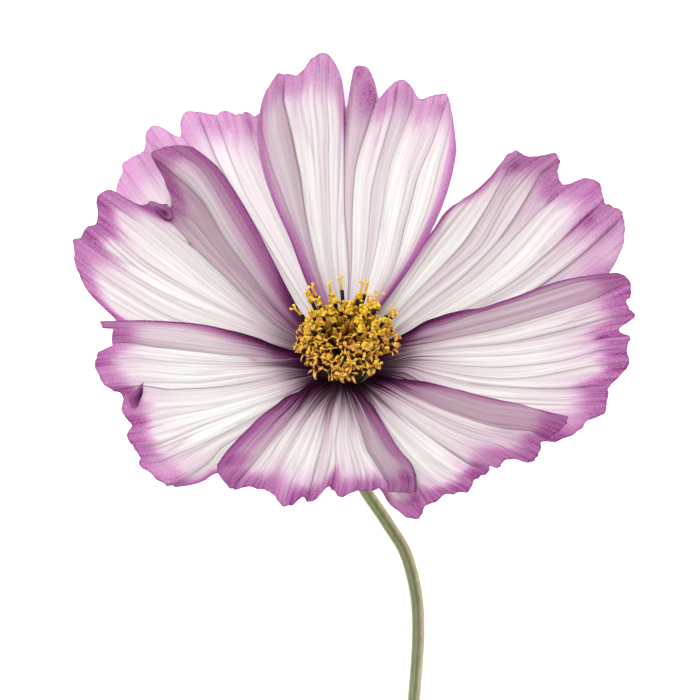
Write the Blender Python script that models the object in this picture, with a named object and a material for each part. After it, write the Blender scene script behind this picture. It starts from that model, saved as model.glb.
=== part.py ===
"""A cosmos flower on its cut stem, lying on a flat surface.

Eight ray petals stand in a ring round a domed disc of small florets.  Two whorls of
eight bracts sit behind them on the receptacle, which is the widened top of the stem.
The flower leans on the tips of its three lowest petals and on the stem, which curves
down from the back of the head and runs along the surface.

Lengths are in millimetres and angles in degrees until they reach a mesh.
"""

from math import cos, pi, radians, sin, sqrt

import bmesh
import bpy
from mathutils import Euler, Vector

MM = 0.001
SHARP_ANGLE = 40          # edges sharper than this show as edges

# The whole flower: how the head faces, and how the whole is laid down.
HEAD_LEAN = 40.0          # between the head's axis and the upright, before it is laid
LAID_TURN = 8.5           # turn about Y that brings the three lowest petals level
HEAD_HEIGHT = 17.9        # the ring of petal roots above the surface, at its centre

# Ray petals.
ROOT_RADIUS = 5.0         # of the ring where the petals start
CLAW_HALF_WIDTH = 1.2     # half the width of a petal at its root
PETAL_THICKNESS = 0.3
PETAL_ROWS = 8            # faces from claw to tip
NARROWEST_LOBE = 0.09     # narrower steps of the tip have no column of their own midway
LOBE_ROUNDNESS = 0.9      # 1 for a sine's crest, less for a fuller lobe
FOLD_START = 0.4          # share of the length over which a petal's relief grows
PLEAT_GROWTH = 1.5        # power by which the pleats deepen towards the tip
FOLD_SOFTNESS = 0.08      # how gently a folded side turns up, in half widths

# Each petal: azimuth is its direction round the head, left and right are its half
# widths to either side (left is the counter-clockwise side), rise is its slope at the
# root and bend what is added to it by the tip, full is how far along each side reaches
# its width, fold turns up a side (slope, place), and roll turns it about its midline.
# The tip is a scalloped edge: notch and lobe in turn, as (place across, reach).
PETALS = {
    "petal_top": dict(
        azimuth=88, length=43.3, left=14, right=15, rise=15.4, bend=6, full=(0.72, 0.72),
        camber=0.08, lift=0.6,
        tip=[(-1, 0.70), (-0.72, 0.91), (-0.60, 0.895), (-0.32, 0.99), (-0.08, 0.81),
             (0.04, 0.955), (0.23, 0.84), (0.41, 0.90), (0.63, 0.82), (0.88, 0.86),
             (1, 0.68)]),
    "petal_upper_right": dict(
        azimuth=33.6, length=40.2, left=13.8, right=14, rise=10.75, bend=6, full=(0.9, 0.8),
        camber=0.05, lift=-0.2,
        tip=[(-1, 0.80), (-0.95, 0.88), (-0.85, 0.875), (-0.64, 0.97), (-0.26, 0.92),
             (-0.10, 1.01), (0.16, 0.98), (0.45, 1.0), (1, 0.76)]),
    "petal_right": dict(
        azimuth=-13, length=42, left=14.5, right=15.6, rise=18, full=(0.85, 0.95),
        fold_left=(0.2, 0.6), roll=-5,
        tip=[(-1, 0.78), (-0.92, 0.885), (-0.70, 0.875), (-0.47, 0.925), (-0.28, 0.875),
             (0.06, 0.94), (0.38, 0.875), (0.62, 0.895), (0.72, 0.83), (0.84, 0.815),
             (1, 0.66)]),
    "petal_lower_right": dict(
        azimuth=-58, length=38, left=13.6, right=15, rise=22, full=(1.1, 0.85),
        wedge=(1, 0.85), fold_left=(0.25, 0.6), roll=-5,
        tip=[(-1, 0.92), (-0.9, 1.02), (-0.6, 0.985), (-0.37, 1.06), (-0.14, 0.965),
             (0, 1.0), (0.05, 0.96), (0.42, 1.02), (0.80, 0.955), (0.93, 1.02),
             (1, 0.78)]),
    "petal_bottom": dict(
        azimuth=-97, length=38, left=14.6, right=14, rise=23, bend=3, full=(0.95, 0.95),
        fold_left=(0.2, 0.6), fold_right=(0.2, 0.6), lift=0.68,
        tip=[(-1, 0.90), (-0.90, 0.94), (-0.45, 0.92), (-0.34, 0.97), (-0.17, 0.91),
             (-0.03, 1.03), (0.04, 1.0), (0.24, 1.07), (0.42, 0.98), (0.78, 1.0),
             (1, 0.92)]),
    "petal_lower_left": dict(
        azimuth=-147, length=38, left=15.6, right=15.8, rise=20, full=(0.85, 0.85),
        fold_right=(0.25, 0.5), roll=5,
        tip=[(-1, 0.78), (-0.66, 1.02), (-0.52, 0.975), (-0.32, 0.985), (-0.15, 0.925),
             (0.08, 0.925), (0.20, 0.86), (0.55, 0.915), (0.76, 0.79), (0.87, 0.80),
             (1, 0.72)]),
    "petal_upper_left": dict(
        azimuth=150, length=38, left=15, right=16, rise=16, full=(0.8, 0.8),
        wedge=(0.85, 1.35), lift=0.25, roll=5,
        tip=[(-1, 0.60), (-0.50, 0.975), (-0.43, 0.955), (-0.33, 0.975), (-0.19, 0.935),
             (0.06, 1.0), (0.30, 0.74), (0.76, 0.945), (1, 0.80)]),
    "petal_back_left": dict(
        azimuth=123.5, length=40.3, left=14.3, right=13, rise=10.95, full=(0.8, 0.8),
        lift=-0.3,
        tip=[(-1, 0.80), (-0.60, 0.975), (-0.40, 0.965), (-0.18, 1.045), (0.02, 0.94),
             (0.27, 1.035), (0.48, 0.975), (0.64, 0.98), (0.76, 0.92), (0.87, 0.93),
             (1, 0.80)]),
}
USUAL_BEND = 4.0
USUAL_WEDGE = (0.85, 0.85)
FLAT_FOLD = (0.0, 0.6)
PLEAT = 0.9               # between the ridge of a lobe and the furrow of a notch, at the tip

# Receptacle: the turned profile of the stem's widened top, radius and height.
RECEPTACLE = [(0.95, -6.18), (1.25, -5.2), (2.1, -3.9), (3.4, -2.5), (4.25, -1.5),
              (4.62, -0.8), (4.62, 1.0), (4.3, 1.65), (3.3, 2.35), (1.8, 2.8)]
RECEPTACLE_TOP = 2.9      # height of the middle of its domed top
RECEPTACLE_EDGE = 1.0     # height where the dome begins
RECEPTACLE_SIDES = 32

# Bracts: sheets that widen from a narrow root and end in a point.
BRACT_COUNT = 8
BRACT_THICKNESS = 0.3
INNER_BRACT = dict(root=4.96, height=-1.15, length=8.6, width=3.5, slope=6, bend=4,
                   cup=0.12, azimuth=10.0)
OUTER_BRACT = dict(root=4.14, height=-2.25, length=10.5, width=1.5, slope=-8, bend=-10,
                   cup=0.10, azimuth=-12.0)
BRACT_WIDTHS = [(0.0, 0.45), (0.2, 0.85), (0.45, 1.0), (0.7, 0.78), (0.88, 0.42), (1.0, 0.12)]

# Disc florets: rings on the receptacle's domed top, as (radius, count, first azimuth).
# The florets of a ring grow from one low collar of chaff.
FLORET_RINGS = [(0.55, 3, 20.0), (1.45, 9, 0.0), (2.35, 14, 12.0), (3.25, 19, 4.0),
                (4.1, 22, 9.0)]
FLORET_SIDES = 5
LEAN_GROWTH = 1.2         # power by which the lean grows from the middle outwards
COLLAR_WIDTH = 0.44
COLLAR_HOLE = 0.12        # least radius of a collar's hole
COLLAR_HEIGHT = 0.35
COLLAR_SIDES = 12         # of the smallest collar; the others have two for each floret
COLLAR_SEAT = 0.38        # between a collar and the receptacle
FLORET_SINK = 0.15        # of a floret's foot in its collar
FLORET_LEAN = 42.0        # lean of the outermost florets
FLORET_LENGTH = (4.3, 5.9)   # at the front of the disc, and at the back
FLORET_PROFILE = [(0.0, 0.30), (0.30, 0.38), (0.58, 0.55), (0.68, 0.51), (0.73, 0.33),
                  (0.92, 0.30), (1.0, 0.14)]

# Stem: its axis as seen from above, and the height of the axis over the surface.
STEM_RADIUS = 0.82        # in the furrows between its ribs
STEM_RIBS = 6
STEM_RIB_DEPTH = 0.06
STEM_ROUTE = [(-0.74, -4.18, 12.97), (-1.36, -7.7, 8.8), (-1.5, -11.5, 5.4), (-0.6, -15.0, 3.6),
              (0.9, -18.4, 2.45), (4.1, -23.4, 1.38), (6.6, -28.4, 0.98), (8.1, -36.5, 0.88),
              (7.4, -48.5, 0.88), (5.6, -66.0, 0.88), (4.2, -84.0, 0.88), (4.6, -100.0, 0.88),
              (6.0, -116.0, 0.88)]
STEM_STEPS = 4            # rings between two points of the route

COLOURS = {
    "petal": (0.86, 0.78, 0.85),
    "stem": (0.33, 0.37, 0.22),
    "receptacle": (0.36, 0.42, 0.20),
    "inner_bract": (0.46, 0.46, 0.24),
    "outer_bract": (0.16, 0.26, 0.09),
    "floret": (0.78, 0.47, 0.06),
}
ROUGHNESS = {"petal": 0.6, "stem": 0.55, "receptacle": 0.6, "inner_bract": 0.55,
             "outer_bract": 0.55, "floret": 0.7}


def clear_scene():
    for obj in list(bpy.data.objects):
        bpy.data.objects.remove(obj, do_unlink=True)


def material(name, kind):
    made = bpy.data.materials.new(name)
    made.use_nodes = True
    shader = made.node_tree.nodes["Principled BSDF"]
    shader.inputs["Base Color"].default_value = (*COLOURS[kind], 1.0)
    shader.inputs["Roughness"].default_value = ROUGHNESS[kind]
    shader.inputs["Metallic"].default_value = 0.0
    return made


def add_object(name, bm, kind, parent):
    """Turns a bmesh into a smooth-shaded object with its own material."""
    mesh = bpy.data.meshes.new(name)
    bm.to_mesh(mesh)
    bm.free()
    mesh.shade_smooth()
    mesh.set_sharp_from_angle(angle=radians(SHARP_ANGLE))
    mesh.materials.append(material(name + "_material", kind))
    obj = bpy.data.objects.new(name, mesh)
    obj.parent = parent
    bpy.context.scene.collection.objects.link(obj)
    return obj


def add_empty(name, parent, location, rotation):
    obj = bpy.data.objects.new(name, None)
    obj.parent = parent
    obj.location = location
    obj.rotation_euler = rotation
    bpy.context.scene.collection.objects.link(obj)
    return obj


def thicken(obj, thickness):
    """Makes a sheet solid, half to each side."""
    solidify = obj.modifiers.new("thickness", "SOLIDIFY")
    solidify.thickness = thickness * MM
    solidify.offset = 0.0
    solidify.use_even_offset = False


def loft(bm, rings):
    """Bridges rings of points into one closed tube with flat ends."""
    loops = [[bm.verts.new(point * MM) for point in ring] for ring in rings]
    sides = len(loops[0])
    for lower, upper in zip(loops, loops[1:]):
        for i in range(sides):
            j = (i + 1) % sides
            bm.faces.new((lower[i], lower[j], upper[j], upper[i]))
    bm.faces.new(list(reversed(loops[0])))
    bm.faces.new(loops[-1])


def between(table, x):
    """Value of a table of (x, value) points at x."""
    for (xa, va), (xb, vb) in zip(table, table[1:]):
        if x <= xb:
            return va + (vb - va) * (x - xa) / (xb - xa)
    return table[-1][1]


def tip_outline(tip, u):
    """Reach of the tip at u, and how near it is to a lobe's ridge (0 in a notch)."""
    for i, ((ua, reach_a), (ub, reach_b)) in enumerate(zip(tip, tip[1:])):
        if u <= ub or i == len(tip) - 2:
            w = min(max((u - ua) / (ub - ua), 0.0), 1.0)
            rising = i % 2 == 0
            low, high = (reach_a, reach_b) if rising else (reach_b, reach_a)
            ridge = sin((w if rising else 1.0 - w) * pi / 2) ** LOBE_ROUNDNESS
            return low + (high - low) * ridge, ridge
    raise ValueError("u lies outside the tip")


def soft_ramp(x):
    return 0.5 * (x + sqrt(x * x + FOLD_SOFTNESS * FOLD_SOFTNESS))


def petal_point(petal, u, v):
    """Point of a petal's middle surface, with the petal along +X and facing up.

    u runs across it from -1 at its counter-clockwise side to 1, and v from claw to tip.
    """
    length = petal["length"]
    reach, ridge = tip_outline(petal["tip"], u)
    x = v * reach
    halves = []
    for side, full, wedge in zip(("left", "right"), petal["full"],
                                 petal.get("wedge", USUAL_WEDGE)):
        widening = sin(min(x / full, 1.0) * pi / 2) ** wedge
        halves.append(CLAW_HALF_WIDTH + (petal[side] - CLAW_HALF_WIDTH) * widening)
    across = u * (halves[0] if u < 0 else halves[1])

    start = radians(petal["rise"])
    curl = radians(petal.get("bend", USUAL_BEND)) / length
    slope = start + curl * x * length
    radius = ROOT_RADIUS + (sin(slope) - sin(start)) / curl
    height = petal.get("lift", 0.0) + (cos(start) - cos(slope)) / curl

    fold_left = petal.get("fold_left", FLAT_FOLD)
    fold_right = petal.get("fold_right", FLAT_FOLD)
    relief = petal.get("camber", 0.0) * u * u
    relief += fold_left[0] * soft_ramp(-u - fold_left[1])
    relief += fold_right[0] * soft_ramp(u - fold_right[1])
    relief *= (halves[0] + halves[1]) / 2 * min(x / FOLD_START, 1.0)
    relief += PLEAT * (ridge - 0.5) * x ** PLEAT_GROWTH

    roll = radians(petal.get("roll", 0.0))
    normal = Vector((-sin(slope), 0, cos(slope)))
    sideways = Vector((0, -cos(roll), 0)) + normal * sin(roll)
    lifted = Vector((0, sin(roll), 0)) + normal * cos(roll)
    return Vector((radius, 0, height)) + sideways * across + lifted * relief


def petal_columns(tip):
    """Places across a petal: every notch and lobe, and midway between them."""
    places = [u for u, _ in tip]
    middles = [(a + b) / 2 for a, b in zip(places, places[1:]) if b - a > NARROWEST_LOBE]
    return sorted(places + middles)


def sheet(point_at, columns, rows):
    """A grid of faces whose corners are point_at(u, v), its upper side facing up."""
    bm = bmesh.new()
    bmesh.ops.create_grid(bm, x_segments=len(columns) - 1, y_segments=len(rows) - 1, size=1.0)
    for vert in bm.verts:
        column = round((vert.co.x + 1.0) / 2 * (len(columns) - 1))
        row = round((vert.co.y + 1.0) / 2 * (len(rows) - 1))
        vert.co = point_at(columns[column], rows[row]) * MM
    return bm


def build_petals(head):
    for name, petal in PETALS.items():
        columns = petal_columns(petal["tip"])
        rows = [i / PETAL_ROWS for i in range(PETAL_ROWS + 1)]
        bm = sheet(lambda u, v, p=petal: petal_point(p, u, v), columns, rows)
        obj = add_object(name, bm, "petal", head)
        obj.rotation_euler = (0, 0, radians(petal["azimuth"]))
        thicken(obj, PETAL_THICKNESS)


def bract_point(bract, u, v):
    """Point of a bract's middle surface, pointing along +X."""
    start = radians(bract["slope"])
    curl = radians(bract["bend"]) / bract["length"]
    slope = start + curl * v * bract["length"]
    radius = bract["root"] + (sin(slope) - sin(start)) / curl
    height = bract["height"] + (cos(start) - cos(slope)) / curl
    half = bract["width"] / 2 * between(BRACT_WIDTHS, v)
    cup = bract["cup"] * u * u * half
    return Vector((radius, -u * half, height + cup))


def build_bracts(head):
    rows = [v for v, _ in BRACT_WIDTHS]
    for whorl, bract in (("inner_bract", INNER_BRACT), ("outer_bract", OUTER_BRACT)):
        for i in range(BRACT_COUNT):
            bm = sheet(lambda u, v, b=bract: bract_point(b, u, v), [-1.0, 0.0, 1.0], rows)
            obj = add_object(f"{whorl}_{i + 1}", bm, whorl, head)
            obj.rotation_euler = (0, 0, radians(bract["azimuth"] + i * 360 / BRACT_COUNT))
            thicken(obj, BRACT_THICKNESS)


def build_receptacle(head):
    bm = bmesh.new()
    rings = []
    for radius, height in RECEPTACLE:
        turns = [2 * pi * k / RECEPTACLE_SIDES for k in range(RECEPTACLE_SIDES)]
        rings.append([Vector((radius * cos(a), radius * sin(a), height)) for a in turns])
    loft(bm, rings)
    bm.faces.ensure_lookup_table()
    centre = bmesh.ops.poke(bm, faces=[bm.faces[-1]])["verts"][0]
    centre.co.z = RECEPTACLE_TOP * MM
    add_object("receptacle", bm, "receptacle", head)


def receptacle_height(radius):
    """Height of the receptacle's domed top at a radius."""
    dome = [(0.0, RECEPTACLE_TOP)] + [(r, z) for r, z in reversed(RECEPTACLE)
                                      if z >= RECEPTACLE_EDGE]
    return between(dome, radius)


def floret_rings(radius, azimuth):
    """Rings of points of one floret that stands on the dome at a radius and azimuth."""
    outermost = FLORET_RINGS[-1][0]
    lean = radians(FLORET_LEAN) * (radius / outermost) ** LEAN_GROWTH
    outward = Vector((cos(azimuth), sin(azimuth), 0))
    foot = outward * radius
    foot.z = receptacle_height(radius) + COLLAR_SEAT + COLLAR_HEIGHT - FLORET_SINK
    front, back = FLORET_LENGTH
    towards_back = 0.5 + 0.5 * sin(azimuth) * radius / outermost
    length = front + (back - front) * towards_back
    turning = Euler((0, lean, azimuth), "XYZ").to_matrix()
    turns = [2 * pi * k / FLORET_SIDES for k in range(FLORET_SIDES)]
    return [[foot + turning @ Vector((size * cos(a), size * sin(a), along * length))
             for a in turns] for along, size in FLORET_PROFILE]


def collar_mesh(radius, sides):
    """A low ring with a square section that follows the dome."""
    bm = bmesh.new()
    inner = max(radius - COLLAR_WIDTH / 2, COLLAR_HOLE)
    outer = radius + COLLAR_WIDTH / 2
    section = [(inner, COLLAR_SEAT), (outer, COLLAR_SEAT),
               (outer, COLLAR_SEAT + COLLAR_HEIGHT), (inner, COLLAR_SEAT + COLLAR_HEIGHT)]
    loops = []
    for k in range(sides):
        a = 2 * pi * k / sides
        loops.append([bm.verts.new(Vector((r * cos(a), r * sin(a), receptacle_height(r) + h)) * MM)
                      for r, h in section])
    for k, here in enumerate(loops):
        there = loops[(k + 1) % sides]
        for i in range(4):
            j = (i + 1) % 4
            bm.faces.new((here[i], there[i], there[j], here[j]))
    bmesh.ops.recalc_face_normals(bm, faces=bm.faces)
    return bm


def build_florets(head):
    for ring, (radius, count, first) in enumerate(FLORET_RINGS):
        shafts = bmesh.new()
        for i in range(count):
            loft(shafts, floret_rings(radius, radians(first + i * 360 / count)))
        florets = add_object(f"floret_shafts_{ring + 1}", shafts, "floret", head)
        florets.hide_render = True
        florets.display_type = "WIRE"
        collar = collar_mesh(radius, max(2 * count, COLLAR_SIDES))
        disc_ring = add_object(f"disc_florets_{ring + 1}", collar, "floret", head)
        union = disc_ring.modifiers.new("florets", "BOOLEAN")
        union.operation = "UNION"
        union.solver = "EXACT"
        union.object = florets


def smooth_route(points, steps):
    """Catmull-Rom curve through the points, with some steps between each two."""
    route = [Vector(point) for point in points]
    ends = [route[0] * 2 - route[1]] + route + [route[-1] * 2 - route[-2]]
    smooth = []
    for a, b, c, d in zip(ends, ends[1:], ends[2:], ends[3:]):
        for i in range(steps):
            t = i / steps
            smooth.append(0.5 * (2 * b + (c - a) * t + (2 * a - 5 * b + 4 * c - d) * t ** 2
                                 + (3 * b - a - 3 * c + d) * t ** 3))
    return smooth + [route[-1]]


def build_stem(root):
    centres = smooth_route(STEM_ROUTE, STEM_STEPS)
    sides = 2 * STEM_RIBS
    side = Vector((1, 0, 0))
    rings = []
    for i, centre in enumerate(centres):
        before, after = centres[max(i - 1, 0)], centres[min(i + 1, len(centres) - 1)]
        ahead = (after - before).normalized()
        side = (side - ahead * side.dot(ahead)).normalized()
        up = ahead.cross(side)
        ring = []
        for k in range(sides):
            turn = 2 * pi * k / sides
            radius = STEM_RADIUS + (STEM_RIB_DEPTH if k % 2 else 0.0)
            ring.append(centre + side * radius * cos(turn) + up * radius * sin(turn))
        rings.append(ring)
    bm = bmesh.new()
    loft(bm, rings)
    bmesh.ops.recalc_face_normals(bm, faces=bm.faces)
    add_object("stem", bm, "stem", root)


def centre_on_origin(root):
    """Moves the flower so that the middle of its box's underside is the origin."""
    bpy.context.view_layer.update()
    graph = bpy.context.evaluated_depsgraph_get()
    corners = []
    for obj in bpy.data.objects:
        if obj.type == "MESH" and not obj.hide_render:
            solid = obj.evaluated_get(graph)
            corners += [solid.matrix_world @ vert.co for vert in solid.data.vertices]
    low = [min(corner[axis] for corner in corners) for axis in range(3)]
    high = [max(corner[axis] for corner in corners) for axis in range(3)]
    root.location = (-(low[0] + high[0]) / 2, -(low[1] + high[1]) / 2, -low[2])


def main():
    clear_scene()
    root = add_empty("cosmos_flower", None, (0, 0, 0), (0, 0, 0))
    laid = add_empty("laid_down", root, (0, 0, HEAD_HEIGHT * MM), (0, radians(LAID_TURN), 0))
    head = add_empty("head", laid, (0, 0, 0), (radians(-HEAD_LEAN), 0, 0))
    build_petals(head)
    build_bracts(head)
    build_receptacle(head)
    build_florets(head)
    build_stem(root)
    centre_on_origin(root)


main()
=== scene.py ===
"""The finish of a cut cosmos flower that lies on a pale floor.

The eight petals, the disc of florets, the two whorls of bracts, the receptacle and the
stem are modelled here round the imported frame.  Lengths are in millimetres and angles in
degrees until they reach a mesh.
"""
from math import cos, pi, radians, sin

import bpy
import numpy as np
from mathutils import Euler, Matrix, Vector


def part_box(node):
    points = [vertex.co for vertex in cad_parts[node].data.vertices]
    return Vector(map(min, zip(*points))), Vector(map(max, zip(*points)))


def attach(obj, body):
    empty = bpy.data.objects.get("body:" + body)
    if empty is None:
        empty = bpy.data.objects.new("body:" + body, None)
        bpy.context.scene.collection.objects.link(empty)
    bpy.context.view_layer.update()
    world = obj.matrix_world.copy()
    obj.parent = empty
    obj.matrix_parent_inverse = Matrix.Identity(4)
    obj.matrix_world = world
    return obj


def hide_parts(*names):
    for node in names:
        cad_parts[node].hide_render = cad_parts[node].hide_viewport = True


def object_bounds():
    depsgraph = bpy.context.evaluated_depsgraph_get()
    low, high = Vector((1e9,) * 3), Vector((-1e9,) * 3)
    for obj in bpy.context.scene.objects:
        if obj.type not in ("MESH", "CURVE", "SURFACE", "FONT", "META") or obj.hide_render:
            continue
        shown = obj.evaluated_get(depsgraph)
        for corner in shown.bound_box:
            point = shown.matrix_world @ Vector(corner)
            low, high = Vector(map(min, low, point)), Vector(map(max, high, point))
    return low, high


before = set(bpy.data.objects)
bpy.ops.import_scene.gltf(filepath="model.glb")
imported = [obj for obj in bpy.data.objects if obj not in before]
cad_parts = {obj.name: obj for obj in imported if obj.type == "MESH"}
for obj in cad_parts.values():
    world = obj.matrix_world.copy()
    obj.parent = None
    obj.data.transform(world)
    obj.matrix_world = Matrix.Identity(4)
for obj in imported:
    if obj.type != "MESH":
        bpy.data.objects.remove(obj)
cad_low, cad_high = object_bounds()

MM = 0.001

# How the flower lies: the head's tilt and turn, and its centre from the receptacle's box.
HEAD_LEAN = 40.0
LAID_TURN = 8.5
HEAD_FROM_RECEPTACLE = Vector((-0.011, 0.174, 0.624))

# Petals: the claw, and how relief grows from it, as in the frame.
ROOT_RADIUS = 5.0
LOBE_ROUNDNESS = 0.9
FOLD_START = 0.4
FOLD_SOFTNESS = 0.08
PLEAT = 0.9
PLEAT_GROWTH = 1.5
USUAL_BEND = 4.0
USUAL_WEDGE = (0.85, 0.85)
CLAW_HALF_WIDTH = 1.2
CREASE_GAP = 0.02
TIP_REST = 1.0            # lower than this the petals' tips are bent up towards level
ROOT_FLARE = 0.3          # the parts wider than the usual side turn up by this slope

# What the fine petals add: columns and rows of faces, thickness, and fine relief.
PETAL_COLUMNS = 190
PETAL_ROWS = 88
FITTING_ROUNDS = 6        # how often a column's place across and along are worked out anew
RIM_SPAN = 1.06           # how far across the tip's outline is followed for the rim
PETAL_THICKNESS = 0.16
HORN_HALF_THICKNESS = 0.16
PAD = 1.1                 # height of the pads between furrows, for each unit of their width
FINE_PAD = 1.3

# A petal is drawn on two coordinates: u across, -1 at its left side and 1 at its right side
# as seen from the flower's centre, and x along, 0 at the root and 1 at the full length.
#   azimuth, length, left, right, rise, bend, full, wedge, camber, lift, roll: as in the frame
#   fold_left, fold_right: (slope, number of the crease) beyond which a side turns up
#   lobes: places across, from a low one, where low places and ridges take turns
#   edge: the tip's outline, in (u, x)
#   sides: left and right, in (x, share of the half width)
#   flare: how far the parts wider than the usual side turn up, left and right
#   creases: (line of painted shade along it, painted shade on its left, painted shade on its right, (x, u)
#       points from root to tip)
#   pads: the painted shade of each pad between the creases
#   low: where the purple of the rim fades out, in (u, x)
#   strength: of the rim's purple; pale: painted light, how far the ground is whitened
#   margins: of each side, (width at the tip, width at the root, purple, maroon at the root)
#   root: reach in mm, and strength, of the maroon at the root
#   horns: small curls of the rim, as ((u, x, height) points, half width, purple, maroon)
#   patches: (which value, u, x, spread across, spread along, strength); a shade patch is painted shade
HIDDEN_SIDE = [(0, 2.3), (0.12, 1.35), (0.3, 1)]
EVEN_SIDE = [(0, 1), (1, 1)]
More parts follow.
